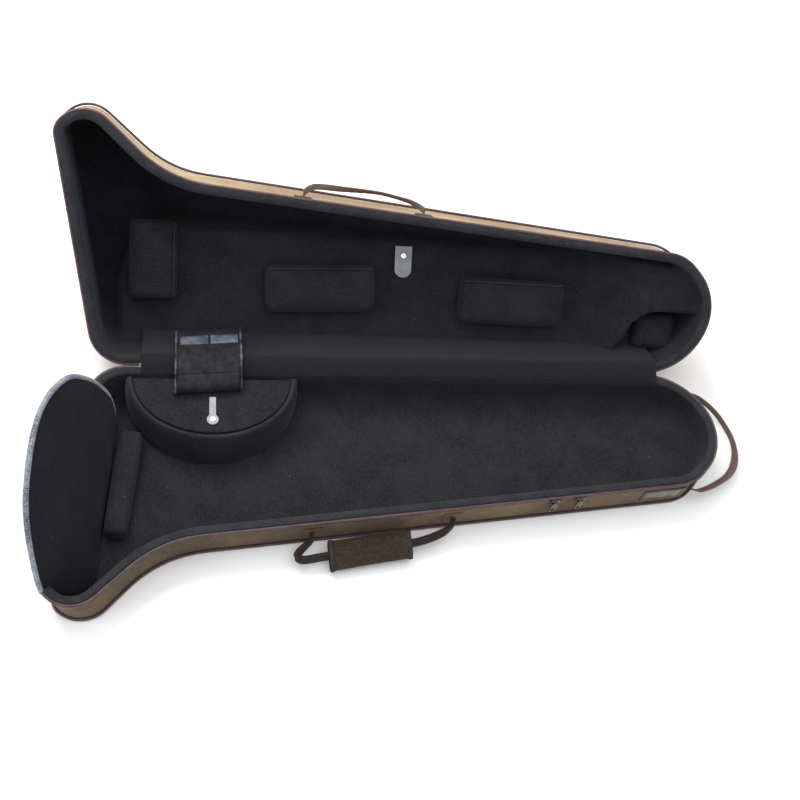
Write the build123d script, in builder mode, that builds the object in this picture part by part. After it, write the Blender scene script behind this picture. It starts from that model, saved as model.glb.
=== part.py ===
"""Shaped trombone case, lying open: base tray, domed lid, plush fittings, handle and straps.

Case coordinates, used by every sketch: x runs along the hinge from the bell end, y is
measured from the hinge line (negative towards the front), heights start at the underside
of the base or, on the lid, at the lid's rim. The part's own frame has +X along the hinge,
-Y to the front, +Z up and its origin on the underside of the base.
"""
import os
from math import atan2, cos, degrees, radians, sin, tan

from build123d import *

os.makedirs("parts", exist_ok=True)

# ---- Driving dimensions, millimetres and degrees ---------------------------------------
LENGTH = 950.0          # outside length along the hinge
ORIGIN_Y = -120.0       # case y of the origin, about the middle of the base
BASE_DEPTH = 62.0       # underside to rim of the base
RIM_GAP = 3.0           # gap between the two rims' pipings when closed
LID_HIGH = 190.0        # rim to top of the lid at the bell end
LID_LOW = 79.0          # and at the slide end
LID_OPEN = 134.0        # how far the lid is laid back from closed
FLOOR_CLEAR = 0.3       # the laid-back lid stays this much above the underside

# Corners of the case's outline seen from above, and the radius of each, from the hinge
# at the bell end, round the bell's tip and the concave flank to the slide end.
CORNERS = [(51, 0), (-3, -325), (39, -364), (148, -261), (902, -181), (970, -111), (914, 0)]
RADII = [52, 26, 43, 160, 68, 86, 100]
FLANK = 3               # index of the one concave corner
BELL_CORNERS = 3        # the first corners belong to the bell end, which leans outwards
BASE_LEAN = 12.0        # outward lean of the bell end over the base's depth
LID_LEAN = 0.045        # outward lean of the bell end per millimetre of lid height
LID_DRAFT = 0.03        # inward lean of the lid's front wall per millimetre of height
DRAFT_SHARE = (0, 1, 1, 1, 0.35, 0, 0)     # how much of it each corner takes
HINGE_START = 112.0     # the fabric hinge runs between these two x
HINGE_END = 848.0

# Layers of the wall, as insets from the outline.
PIPING_R = 2.0
COVER_OUT = 3.0         # outer face of the canvas
SHELL_OUT = 4.2         # canvas to plywood
LINING_OUT = 9.2        # plywood to foam
LINING_IN = 14.0        # face of the plush
FLOOR_SHELL = 4.0       # plywood floor
FLOOR_LINING = 4.0      # foam and plush on the floor
UNDERSIDE = 1.2         # canvas under the base
GAP = 0.3               # working gap between pieces that lie against each other

HINGE_Z = BASE_DEPTH + RIM_GAP / 2
FLOOR_TOP = UNDERSIDE + FLOOR_SHELL + FLOOR_LINING
LID_SLOPE = (LID_HIGH - LID_LOW) / LENGTH
LID_TOP_ANGLE = degrees(atan2(LID_HIGH - LID_LOW, LENGTH))
FRONT_LEAN = degrees(atan2(CORNERS[4][1] - CORNERS[3][1], CORNERS[4][0] - CORNERS[3][0]))


# ---- Places ----------------------------------------------------------------------------
def at(x, y, z):
    """A point of the base, from case coordinates to the part's frame."""
    return Vector(x - LENGTH / 2, y - ORIGIN_Y, z)


def base_plane(height):
    """Horizontal sketch plane of the base, with case coordinates in it."""
    return Plane(origin=at(0, 0, height), x_dir=(1, 0, 0), z_dir=(0, 0, 1))


def lid_axes():
    """Directions of the lid's own y and height axes, with the lid laid open."""
    turn = radians(LID_OPEN)
    return Vector(0, cos(turn), -sin(turn)), Vector(0, sin(turn), cos(turn))


def lid_at(x, y, height):
    """A point of the open lid; height is measured from the lid's rim."""
    y_axis, up = lid_axes()
    return at(x, 0, HINGE_Z) + y_axis * y + up * (height + RIM_GAP / 2)


def lid_plane(height):
    """Sketch plane parallel to the lid's rim, with case coordinates in it."""
    return Plane(origin=lid_at(0, 0, height), x_dir=(1, 0, 0), z_dir=lid_axes()[1])


def lid_top_plane(inset):
    """Plane of the lid's sloping top, inset into the lid."""
    x_dir = lid_at(LENGTH, 0, LID_LOW) - lid_at(0, 0, LID_HIGH)
    up = x_dir.cross(lid_axes()[0])
    return Plane(origin=lid_at(0, 0, LID_HIGH - inset), x_dir=x_dir, z_dir=up)


def bed_height(x, y):
    """Lid height of the face of the slide bed, which slopes across the lid."""
    return 88.0 - 0.033 * x - 0.124 * y


def bed_plane(x, y, rise=0.0):
    """Plane on the slide bed at (x, y), its normal into the lid's top, raised to the rim."""
    here = lid_at(x, y, bed_height(x, y) - rise)
    x_dir = lid_at(x + 1, y, bed_height(x + 1, y) - rise) - here
    y_dir = lid_at(x, y + 1, bed_height(x, y + 1) - rise) - here
    return Plane(origin=here, x_dir=x_dir, z_dir=x_dir.cross(y_dir))


def front_y(x):
    """Case y of the straight stretch of the front outline."""
    return CORNERS[3][1] + (x - CORNERS[3][0]) * tan(radians(FRONT_LEAN))


def front_plane(x, height, out, tilt=0.0):
    """Plane at the base's front wall: x along the wall, y outwards, turned down by tilt."""
    lean = radians(FRONT_LEAN)
    along = Vector(cos(lean), sin(lean), 0)
    outward = Vector(sin(lean), -cos(lean), 0)
    drop = outward * cos(radians(tilt)) - Vector(0, 0, 1) * sin(radians(tilt))
    wall = at(x, front_y(x), height) + outward * (out - COVER_OUT)
    return Plane(origin=wall, x_dir=along, z_dir=along.cross(drop))


def lid_front_plane(x, height, out):
    """Plane at the lid's front wall: x along the wall, y towards the lid's top, z outwards."""
    step = lid_at(x + 1, front_y(x + 1), height) - lid_at(x, front_y(x), height)
    outward = step.cross(lid_axes()[1])
    middle = (DRAFT_SHARE[3] + DRAFT_SHARE[4]) / 2
    wall = lid_at(x, front_y(x) + LID_DRAFT * middle * height, height)
    wall = wall + outward.normalized() * (out - COVER_OUT)
    return Plane(origin=wall, x_dir=step, z_dir=outward)


# ---- Shapes shared by several pieces ----------------------------------------------------
def outline_corners(inset, bell_out, front_in=0.0):
    """The outline's corners moved in by inset, the bell end moved out and the front moved in."""
    moved = []
    for i, (x, y) in enumerate(CORNERS):
        moved.append(Vector(x - (bell_out if i < BELL_CORNERS else 0), y + front_in * DRAFT_SHARE[i]))
    result = []
    for i, corner in enumerate(moved):
        before = (corner - moved[i - 1]).normalized()
        after = (moved[(i + 1) % len(moved)] - corner).normalized()
        n1 = Vector(-before.Y, before.X)
        n2 = Vector(-after.Y, after.X)
        result.append(corner + (n1 + n2) * (inset / (1 + n1.dot(n2))))
    return result


def outline_radii(inset):
    """Corner radii of the inset outline: smaller at each corner, larger at the flank."""
    return [r + inset if i == FLANK else r - inset for i, r in enumerate(RADII)]


def outline(plane, inset, bell_out=0.0, front_in=0.0):
    """Filled outline of the case in a plane."""
    corners = outline_corners(inset, bell_out, front_in)
    with BuildSketch(plane) as sketch:
        with BuildLine():
            FilletPolyline(*corners, radius=outline_radii(inset), close=True)
        make_face()
    return sketch.sketch


def base_lean(height):
    """How far the base's bell end stands in at a height, against its rim."""
    return -BASE_LEAN * (1 - height / BASE_DEPTH)


def base_block(inset, low, high):
    """Solid of the base between two heights, inset from the outline."""
    with BuildPart() as block:
        loft([outline(base_plane(z), inset, base_lean(z)) for z in (low, high)], ruled=True)
    return block.part


def lid_block(inset, low=0.0):
    """Solid of the open lid, inset from the outline, top and floor facet."""
    high = LID_HIGH + 15
    with BuildPart() as block:
        loft([outline(lid_plane(h), inset, LID_LEAN * h, LID_DRAFT * h) for h in (low, high)], ruled=True)
        split(bisect_by=lid_top_plane(inset - COVER_OUT), keep=Keep.BOTTOM)
        split(bisect_by=Plane.XY.offset(FLOOR_CLEAR + inset - COVER_OUT), keep=Keep.TOP)
    return block.part


def filleted_route(plane, points, radii):
    """Line of straight runs and tangent arcs through points given in a plane."""
    with BuildLine() as path:
        FilletPolyline(*points, radius=radii)
    return plane.from_local_coords(path.line)


def piping(plane, points, radii):
    """Round piping of PIPING_R along a filleted line drawn in a plane."""
    route = filleted_route(plane, points, radii)
    with BuildPart() as tube:
        with BuildSketch(Plane(origin=route @ 0, z_dir=route % 0)):
            Circle(PIPING_R)
        sweep(path=route)
    return tube.part


def webbing(plane, points, radii, width, thickness):
    """Flat webbing standing on edge along a filleted line drawn in a plane."""
    route = filleted_route(plane, points, radii)
    with BuildPart() as strap:
        with BuildSketch(Plane(origin=route @ 0, x_dir=plane.z_dir, z_dir=route % 0)):
            Rectangle(width, thickness)
        sweep(path=route)
    return strap.part


def rounded_block(plane, length, width, height, corner, edge):
    """Padded block on a plane, with rounded corners and a rounded upper edge."""
    with BuildPart() as block:
        with BuildSketch(plane):
            RectangleRounded(length, width, corner)
        extrude(amount=height)
        fillet(block.faces().sort_by(Axis(plane.origin, plane.z_dir))[-1].edges(), edge)
    return block.part


def finish(piece, name):
    """Label a piece and write its file."""
    piece.label = name
    export_step(piece, f"parts/{name}.step")


def rim_line(inset, bell_out, front_in=0.0):
    """Corners and radii of the rim from one end of the hinge round the front to the other."""
    corners = outline_corners(inset, bell_out, front_in)
    points = [(HINGE_START, -inset)] + corners + [(HINGE_END, -inset)]
    return points, outline_radii(inset)


# ---- Base tray --------------------------------------------------------------------------
COVER_LIFT = 1.6        # the canvas wall starts above the underside

base_outer = base_block(SHELL_OUT, UNDERSIDE, BASE_DEPTH)
base_hollow = base_block(LINING_OUT, UNDERSIDE + FLOOR_SHELL, BASE_DEPTH)
base_inner = base_block(LINING_IN, FLOOR_TOP, BASE_DEPTH)

with BuildPart() as base_underside:
    add(base_block(COVER_OUT, 0, UNDERSIDE))
finish(base_underside.part, "base_underside")

with BuildPart() as base_shell:
    add(base_outer)
    add(base_hollow, mode=Mode.SUBTRACT)
finish(base_shell.part, "base_shell")

with BuildPart() as base_lining:
    add(base_hollow)
    add(base_inner, mode=Mode.SUBTRACT)
finish(base_lining.part, "base_lining")

base_wrap = base_block(COVER_OUT, COVER_LIFT, BASE_DEPTH)
with BuildPart() as base_cover:
    add(base_wrap)
    add(base_block(SHELL_OUT, COVER_LIFT, BASE_DEPTH), mode=Mode.SUBTRACT)
finish(base_cover.part, "base_cover")

RIM_PIPE_Z = BASE_DEPTH - PIPING_R
points, radii = rim_line(COVER_OUT - PIPING_R - GAP / 3, base_lean(RIM_PIPE_Z))
base_rim_piping = piping(base_plane(RIM_PIPE_Z), points, radii)
finish(base_rim_piping, "base_rim_piping")

FOOT_PIPE_Z = COVER_LIFT + PIPING_R
points, radii = rim_line(COVER_OUT - PIPING_R - GAP / 3, base_lean(FOOT_PIPE_Z))
base_foot_piping = piping(base_plane(FOOT_PIPE_Z), points, radii)
finish(base_foot_piping, "base_foot_piping")

ZIP_TAPE = 8.0          # width of each zip tape
ZIP_THICK = 1.0
ZIP_TOP = BASE_DEPTH - 2 * PIPING_R - GAP


def zip_band(block, wall):
    """Ring of zip tape round a wall, without its stretch along the hinge."""
    with BuildPart() as band:
        add(block)
        add(wall, mode=Mode.SUBTRACT)
        with BuildSketch(base_plane(-10)):
            with Locations(((HINGE_START + HINGE_END) / 2, 0)):
                Rectangle(HINGE_END - HINGE_START, 60)
        extrude(amount=BASE_DEPTH + 20, mode=Mode.SUBTRACT)
    return band.part


base_zip_tape = zip_band(base_block(COVER_OUT - ZIP_THICK, ZIP_TOP - ZIP_TAPE, ZIP_TOP), base_wrap)
finish(base_zip_tape, "base_zip_tape")

# ---- Lid --------------------------------------------------------------------------------
lid_outer = lid_block(SHELL_OUT)
lid_hollow = lid_block(LINING_OUT)
lid_inner = lid_block(LINING_IN)

lid_whole = lid_block(COVER_OUT)
FACET_TOP = Plane.XY.offset(FLOOR_CLEAR + UNDERSIDE)

with BuildPart() as lid_floor_panel:
    add(lid_whole)
    split(bisect_by=FACET_TOP, keep=Keep.BOTTOM)
finish(lid_floor_panel.part, "lid_floor_panel")

with BuildPart() as lid_cover:
    add(lid_whole)
    split(bisect_by=FACET_TOP, keep=Keep.TOP)
    add(lid_outer, mode=Mode.SUBTRACT)
finish(lid_cover.part, "lid_cover")

with BuildPart() as lid_shell:
    add(lid_outer)
    add(lid_hollow, mode=Mode.SUBTRACT)
finish(lid_shell.part, "lid_shell")

with BuildPart() as lid_lining:
    add(lid_hollow)
    add(lid_inner, mode=Mode.SUBTRACT)
finish(lid_lining.part, "lid_lining")

points, radii = rim_line(COVER_OUT - PIPING_R - GAP / 3, LID_LEAN * PIPING_R, LID_DRAFT * PIPING_R)
lid_rim_piping = piping(lid_plane(PIPING_R), points, radii)
finish(lid_rim_piping, "lid_rim_piping")


ZIP_LOW = 2 * PIPING_R + GAP
with BuildPart() as lid_zip_tape:
    loft([outline(lid_plane(h), COVER_OUT - ZIP_THICK, LID_LEAN * h, LID_DRAFT * h)
          for h in (ZIP_LOW, ZIP_LOW + ZIP_TAPE)], ruled=True)
    add(lid_whole, mode=Mode.SUBTRACT)
    with BuildSketch(lid_plane(-10)):
        with Locations(((HINGE_START + HINGE_END) / 2, 0)):
            Rectangle(HINGE_END - HINGE_START, 60)
    extrude(amount=60, mode=Mode.SUBTRACT)
finish(lid_zip_tape.part, "lid_zip_tape")


def lid_top_line(inset):
    """Points of the lid's top edge in the top plane, from the floor facet to the slide end."""
    stretch = 1 / cos(radians(LID_TOP_ANGLE))
    points = []
    for i in range(1, len(CORNERS)):
        height = LID_HIGH - LID_SLOPE * CORNERS[i][0]
        corner = outline_corners(inset, LID_LEAN * height, LID_DRAFT * height)[i]
        points.append((corner.X * stretch, corner.Y))
    start = outline_corners(inset, LID_LEAN * LID_HIGH, LID_DRAFT * LID_HIGH)
    along = (start[1] - start[0]).normalized()
    first = start[0] + along * (FACET_Y / along.Y)
    points[-1] = tuple(a + (b - a) * TOP_PIPE_END for a, b in zip(points[-2], points[-1]))
    return [(first.X * stretch, first.Y)] + points


FACET_Y = -117.0        # case y where the floor facet meets the top at the bell end
TOP_PIPE_END = 0.62      # share of the way to the last corner where the piping runs out
lid_top_piping = piping(lid_top_plane(PIPING_R), lid_top_line(COVER_OUT - PIPING_R - 0.7),
                        outline_radii(0)[1:-1])
finish(lid_top_piping, "lid_top_piping")

# ---- Fabric hinge -----------------------------------------------------------------------
TAPE_THICK = 1.2
TAPE_HIGH = 26.0        # height of the hinge tape on each half
HINGE_MID = (HINGE_START + HINGE_END) / 2
HINGE_LONG = HINGE_END - HINGE_START - 12


def hinge_strip(plane, length, height, thickness=TAPE_THICK):
    """Flat strip on a wall plane, its top edge at the plane's origin."""
    with BuildPart(plane) as strip:
        Box(length, height, thickness, align=(Align.CENTER, Align.MAX, Align.MIN))
    return strip.part


def base_wall_plane(y, height):
    """Vertical plane facing backwards at a case y, its y axis up."""
    return Plane(origin=at(HINGE_MID, y, height), x_dir=(-1, 0, 0), z_dir=(0, 1, 0))


def lid_wall_plane(y, height):
    """The same on the lid, its y axis towards the rim."""
    return Plane(origin=lid_at(HINGE_MID, y, height), x_dir=(1, 0, 0), z_dir=lid_axes()[0])


hinge_tape_base = hinge_strip(base_wall_plane(-COVER_OUT, BASE_DEPTH - 1), HINGE_LONG, TAPE_HIGH)
finish(hinge_tape_base, "hinge_tape_base")
hinge_tape_lid = hinge_strip(lid_wall_plane(-COVER_OUT, 1), HINGE_LONG, TAPE_HIGH)
finish(hinge_tape_lid, "hinge_tape_lid")

GUSSET_LONG = 736.0     # inner fabric strip that covers the hinge gap
GUSSET_HIGH_LID = 54.0
GUSSET_HIGH_BASE = 9.0
GUSSET_Y = -LINING_IN - TAPE_THICK - GAP
gusset_base = hinge_strip(base_wall_plane(GUSSET_Y, BASE_DEPTH), GUSSET_LONG, GUSSET_HIGH_BASE)
finish(gusset_base, "gusset_base")
gusset_lid = hinge_strip(lid_wall_plane(GUSSET_Y, 0), GUSSET_LONG, GUSSET_HIGH_LID)
finish(gusset_lid, "gusset_lid")

# ---- Bell end: round rest panel and foot pad ----------------------------------------------
PANEL_SLOPE = 0.19      # backward lean of the panel, as a tangent
PANEL_TURN = 0.117      # turn of the panel towards the front, as a tangent
PANEL_FOOT_X = 90.2     # x of its face at the rim's height where it meets the hinge line
PANEL_THICK = 5.0
PANEL_BACK_Y = -52.0
PANEL_FRONT_Y = -314.0
PANEL_PEAK = (-200.0, 156.0)     # y and height over the rim of the highest point
PANEL_SHOULDER = 18.0            # height where the curve starts at the back
PANEL_CORNER = 98.0              # and ends at the front


def panel_point(y, height):
    """In-plane position of a point given by its case y and height over the rim."""
    return (y * (1 + PANEL_TURN ** 2) ** 0.5, height * (1 + PANEL_SLOPE ** 2) ** 0.5)


panel_normal = Vector(1, -PANEL_TURN, PANEL_SLOPE).normalized()
panel_along = Vector(PANEL_TURN, 1, 0).normalized()
panel_plane = Plane(origin=at(PANEL_FOOT_X, 0, BASE_DEPTH) - panel_normal * PANEL_THICK,
                    x_dir=panel_along, z_dir=panel_normal)
PANEL_FOOT = FLOOR_TOP - BASE_DEPTH + 4.0

with BuildPart() as bell_panel:
    with BuildSketch(panel_plane):
        with BuildLine():
            curve = ThreePointArc(panel_point(PANEL_BACK_Y, PANEL_SHOULDER), panel_point(*PANEL_PEAK),
                                  panel_point(PANEL_FRONT_Y, PANEL_CORNER))
            Polyline(curve @ 1, panel_point(PANEL_FRONT_Y + 6, PANEL_FOOT),
                     panel_point(PANEL_BACK_Y, PANEL_FOOT), curve @ 0)
        make_face()
    extrude(amount=PANEL_THICK)
    fillet(bell_panel.faces().sort_by(Axis(panel_plane.origin, panel_normal))[-1].edges(), 3)
finish(bell_panel.part, "bell_panel")

BELL_PAD = (24.0, 136.0, 28.0)
BELL_PAD_TURN = degrees(atan2(PANEL_TURN, 1))
bell_pad_plane = Plane(origin=at(94.5, -162.0, FLOOR_TOP + GAP),
                       x_dir=panel_along.rotate(Axis.Z, -90), z_dir=(0, 0, 1))
bell_pad = rounded_block(bell_pad_plane, *BELL_PAD, corner=5, edge=5)
finish(bell_pad, "bell_pad")

# ---- Accessory box ------------------------------------------------------------------------
BOX_X = 214.0           # middle of its straight back
BOX_BACK = -LINING_IN - TAPE_THICK - 2 * GAP - 0.6
BOX_TOP = BASE_DEPTH - 1.0
BOX_FOOT_RX = 122.0     # half length and depth at the floor
BOX_FOOT_RY = 112.0
BOX_TOP_RX = 119.0      # and at the top
BOX_TOP_RY = 97.0
BOX_WALL = 8.0
BOX_LID_THICK = 5.0
BOX_LID_GAP = 0.6
BOX_RIM = 8.0           # width of the padded edge round the lid
BOX_LEDGE = 16.0        # the lid rests on a ledge that reaches this far in
BOX_BACK_WALL = 4.0


def half_moon(height, rx, ry, back=BOX_BACK):
    """Half ellipse with its straight side along the back wall."""
    with BuildSketch(base_plane(height)) as sketch:
        with Locations((BOX_X, back)):
            Ellipse(rx, ry)
            Rectangle(2 * rx + 2, ry + 2, align=(Align.CENTER, Align.MIN), mode=Mode.SUBTRACT)
    return sketch.sketch


BOX_SEAT = BOX_TOP - BOX_LID_THICK - GAP
with BuildPart() as accessory_box:
    loft([half_moon(FLOOR_TOP + GAP, BOX_FOOT_RX, BOX_FOOT_RY),
          half_moon(BOX_TOP, BOX_TOP_RX, BOX_TOP_RY)], ruled=True)
    loft([half_moon(FLOOR_TOP + 4, BOX_FOOT_RX - BOX_WALL, BOX_FOOT_RY - BOX_WALL, BOX_BACK - BOX_BACK_WALL),
          half_moon(BOX_SEAT + 0.1, BOX_TOP_RX - BOX_LEDGE, BOX_TOP_RY - BOX_LEDGE, BOX_BACK - BOX_BACK_WALL)],
         ruled=True, mode=Mode.SUBTRACT)
    extrude(half_moon(BOX_SEAT, BOX_TOP_RX - BOX_RIM, BOX_TOP_RY - BOX_RIM, BOX_BACK + 1),
            amount=BOX_LID_THICK + 2, dir=(0, 0, 1), mode=Mode.SUBTRACT)
finish(accessory_box.part, "accessory_box")

BOX_HINGE_Y = BOX_BACK - 1.0
with BuildPart() as accessory_lid:
    lid_outline = half_moon(BOX_TOP - BOX_LID_THICK, BOX_TOP_RX - BOX_RIM - BOX_LID_GAP - 1,
                            BOX_TOP_RY - BOX_RIM - BOX_LID_GAP - 4, BOX_HINGE_Y)
    extrude(lid_outline, amount=BOX_LID_THICK, dir=(0, 0, 1))
finish(accessory_lid.part, "accessory_lid")

PULL_X = 214.0          # grey pull tab on the accessory lid
PULL_WIDE = 9.0
PULL_END_R = 8.0
PULL_THICK = 1.6
PULL_START = -49.0
PULL_END = -84.0
PULL_Z = BOX_TOP + GAP

with BuildPart() as box_pull_tab:
    with BuildSketch(base_plane(PULL_Z)):
        with Locations((PULL_X, (PULL_START + PULL_END) / 2)):
            Rectangle(PULL_WIDE, PULL_START - PULL_END)
        with Locations((PULL_X, PULL_END)):
            Circle(PULL_END_R)
    extrude(amount=PULL_THICK)
    with Locations((base_plane(PULL_Z + PULL_THICK)).from_local_coords(Vector(PULL_X, PULL_END, 0))):
        Hole(2.0)
finish(box_pull_tab.part, "box_pull_tab")

with BuildPart(base_plane(PULL_Z + 0.1)) as pull_tab_rivet:
    with Locations((PULL_X, PULL_END)):
        Cylinder(1.95, PULL_THICK, align=(Align.CENTER, Align.CENTER, Align.MIN))
    with Locations((PULL_X, PULL_END, PULL_THICK)):
        Cylinder(3.6, 1.0, align=(Align.CENTER, Align.CENTER, Align.MIN))
finish(pull_tab_rivet.part, "pull_tab_rivet")

# ---- Mouthpiece pouch, lying across the hinge ----------------------------------------------
POUCH_X = 209.0
POUCH_WIDE = 100.0
POUCH_THICK = 10.0

pouch_front = rounded_block(base_plane(BOX_TOP + 0.5).move(Location((POUCH_X, -38, 0))),
                            POUCH_WIDE, 15.0, POUCH_THICK, 4, 3)
finish(pouch_front, "pouch_front")

pouch_lid_plane = Plane(origin=lid_at(POUCH_X, GUSSET_Y - GAP, 53.0),
                        x_dir=(1, 0, 0), z_dir=lid_axes()[0] * -1)
pouch_back = rounded_block(pouch_lid_plane, POUCH_WIDE, 58.0, 8.0, 4, 3)
finish(pouch_back, "pouch_back")

# ---- Slide bed and pads in the lid ---------------------------------------------------------
BED_THICK = 8.0
BED_OUTLINE = [(79, -34), (77, -80), (100, -130), (162, -184), (486, -176), (646, -168),
               (765, -165), (765, -13)]
lid_room = lid_block(LINING_IN + GAP, low=-2.0)

with BuildPart() as slide_bed:
    with BuildSketch(bed_plane(0, 0)):
        with BuildLine():
            Polyline(*BED_OUTLINE, close=True)
        make_face()
    extrude(amount=BED_THICK)
    add(lid_room, mode=Mode.INTERSECT)
finish(slide_bed.part, "slide_bed")

END_BLOCK_H = 24.0      # the end block comes this near the rim
END_BLOCK_PROFILE = [(766, 72), (800, 56), (850, END_BLOCK_H), (960, END_BLOCK_H), (960, 120), (766, 120)]
END_BLOCK_SHELF = [(852, -84), (836, -50), (812, -18), (766, -14), (700, -300), (1000, -300), (1000, -84)]

with BuildPart() as slide_end_block:
    with BuildSketch(Plane(origin=lid_at(0, 0, 0), x_dir=(1, 0, 0), z_dir=lid_axes()[0] * -1)):
        with BuildLine():
            Polyline(*END_BLOCK_PROFILE, close=True)
        make_face()
    extrude(amount=300)
    with BuildSketch(lid_plane(-5)) as shelf:
        with BuildLine():
            Polyline(*END_BLOCK_SHELF, close=True)
        make_face()
    extrude(amount=200, mode=Mode.INTERSECT)
    add(lid_room, mode=Mode.INTERSECT)
finish(slide_end_block.part, "slide_end_block")


def bed_pad(x, y, length, width, height, turn=0.0, corner=6.0, edge=5.0):
    """Padded block on the slide bed, standing towards the rim."""
    seat = bed_plane(x, y, GAP)
    x_dir = seat.x_dir.rotate(Axis((0, 0, 0), seat.z_dir), turn)
    flipped = Plane(origin=seat.origin, x_dir=x_dir, z_dir=seat.z_dir * -1)
    return rounded_block(flipped, length, width, height, corner, edge)


bell_end_pad = bed_pad(128, -133, 66, 112, 25)
finish(bell_end_pad, "bell_end_pad")
slide_pad_left = bed_pad(370, -99, 158, 66, 25, turn=-2)
finish(slide_pad_left, "slide_pad_left")
slide_pad_right = bed_pad(659, -88, 160, 65, 25, turn=1)
finish(slide_pad_right, "slide_pad_right")
slide_end_pad = bed_pad(875, -54, 46, 42, 20)
finish(slide_end_pad, "slide_end_pad")

TAB_X = 494.0           # turning leather tab and the stud it turns on
TAB_STUD_Y = -151.0
TAB_WIDE = 25.0
TAB_ABOVE = 14.0        # from the stud to the square end
TAB_BELOW = 20.0        # and to the centre of the round end
TAB_THICK = 2.0
tab_seat = bed_plane(TAB_X, TAB_STUD_Y, GAP)
tab_plane = Plane(origin=tab_seat.origin, x_dir=tab_seat.x_dir * -1, z_dir=tab_seat.z_dir * -1)

with BuildPart() as slide_tab:
    with BuildSketch(tab_plane):
        with Locations((0, (TAB_BELOW - TAB_ABOVE) / 2)):
            Rectangle(TAB_WIDE, TAB_ABOVE + TAB_BELOW)
        with Locations((0, TAB_BELOW)):
            Circle(TAB_WIDE / 2)
        Circle(2.1, mode=Mode.SUBTRACT)
    extrude(amount=TAB_THICK)
finish(slide_tab.part, "slide_tab")

with BuildPart(tab_plane) as tab_stud:
    Cylinder(2.05, TAB_THICK + 0.3, align=(Align.CENTER, Align.CENTER, Align.MIN))
    with Locations((0, 0, TAB_THICK + 0.3)):
        Cylinder(4.6, 1.6, align=(Align.CENTER, Align.CENTER, Align.MIN))
    fillet(tab_stud.edges().sort_by(Axis(tab_plane.origin, tab_plane.z_dir))[-1], 1.2)
finish(tab_stud.part, "tab_stud")

# ---- Carry handle on the base's front wall ---------------------------------------------------
HANDLE_X = 447.0        # middle of the handle along the front wall
HANDLE_Z = 29.0         # height of the sewn-on patches
HANDLE_OUT = 12.0       # the handle swings about a line this far from the wall
HANDLE_DROOP = 21.0     # it droops until it lies on the ground
WEB_WIDE = 14.0
WEB_THICK = 5.0
GRIP_LONG = 112.0
GRIP_OUT = 22.0         # middle of the grip, out from the swing line
GRIP_X = -22.0          # and along the wall, from the middle of the handle
GRIP_WIDE = 42.0
GRIP_THICK = 15.0
handle_plane = front_plane(HANDLE_X, HANDLE_Z, HANDLE_OUT, HANDLE_DROOP)

grip_end = GRIP_X - GRIP_LONG / 2 - GAP
left_web = webbing(handle_plane, [(-100, 0), (-124, 12), (-118, 27), (grip_end, 24)], [11, 9], WEB_WIDE, WEB_THICK)
grip_end = GRIP_X + GRIP_LONG / 2 + GAP
right_web = webbing(handle_plane, [(100, 0), (66, 16), (grip_end, 20)], [30], WEB_WIDE, WEB_THICK)
handle_webbing = Compound(children=[left_web, right_web])
finish(handle_webbing, "handle_webbing")

grip_plane = Plane(origin=handle_plane.from_local_coords(Vector(GRIP_X - GRIP_LONG / 2, GRIP_OUT, 0)),
                   x_dir=handle_plane.y_dir, z_dir=handle_plane.x_dir)
with BuildPart() as handle_grip:
    with BuildSketch(grip_plane):
        RectangleRounded(GRIP_WIDE, GRIP_THICK, GRIP_THICK / 2 - 0.1)
    extrude(amount=GRIP_LONG)
finish(handle_grip.part, "handle_grip")


def wall_patches(places, length, height):
    """Sewn-on patches on a wall, one at each plane, as one group of separate solids."""
    patches = []
    for place in places:
        with BuildPart(place) as patch:
            Box(length, height, 1.0, align=(Align.CENTER, Align.CENTER, Align.MIN))
        patches.append(patch.part)
    return Compound(children=patches)


def front_face(x, height):
    """Outward-facing plane on the base's front wall, its y axis up."""
    flat = front_plane(x, height, GAP)
    return Plane(origin=flat.origin, x_dir=flat.x_dir, z_dir=flat.y_dir)


PATCH = (26.0, 22.0)
handle_patches = wall_patches([front_face(HANDLE_X + d, HANDLE_Z) for d in (-98, 98)], *PATCH)
finish(handle_patches, "handle_patches")

# ---- Strap on the lid's front wall -------------------------------------------------------------
LID_STRAP_X = 424.0
LID_STRAP_H = 44.0
LID_STRAP_OUT = 6.0
LID_STRAP_LONG = 176.0
LID_STRAP_RISE = 52.0
LID_STRAP_LIFT = 10.0   # how far its middle stands further out than its ends
strap_face = lid_front_plane(LID_STRAP_X, LID_STRAP_H, LID_STRAP_OUT)
strap_up = strap_face.y_dir * LID_STRAP_RISE + strap_face.z_dir * LID_STRAP_LIFT
strap_plane = Plane(origin=strap_face.origin, x_dir=strap_face.x_dir, z_dir=strap_face.x_dir.cross(strap_up))
half = LID_STRAP_LONG / 2
lid_strap = webbing(strap_plane, [(-half, 0), (-half + 16, 44), (-30, 53), (30, 53), (half - 16, 44), (half, 0)],
                    [22, 50, 50, 22], 8.0, 3.0)
finish(lid_strap, "lid_strap")
lid_strap_patches = wall_patches([lid_front_plane(LID_STRAP_X + d, LID_STRAP_H, GAP)
                                  for d in (-half, half)], 24.0, 20.0)
finish(lid_strap_patches, "lid_strap_patches")

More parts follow.
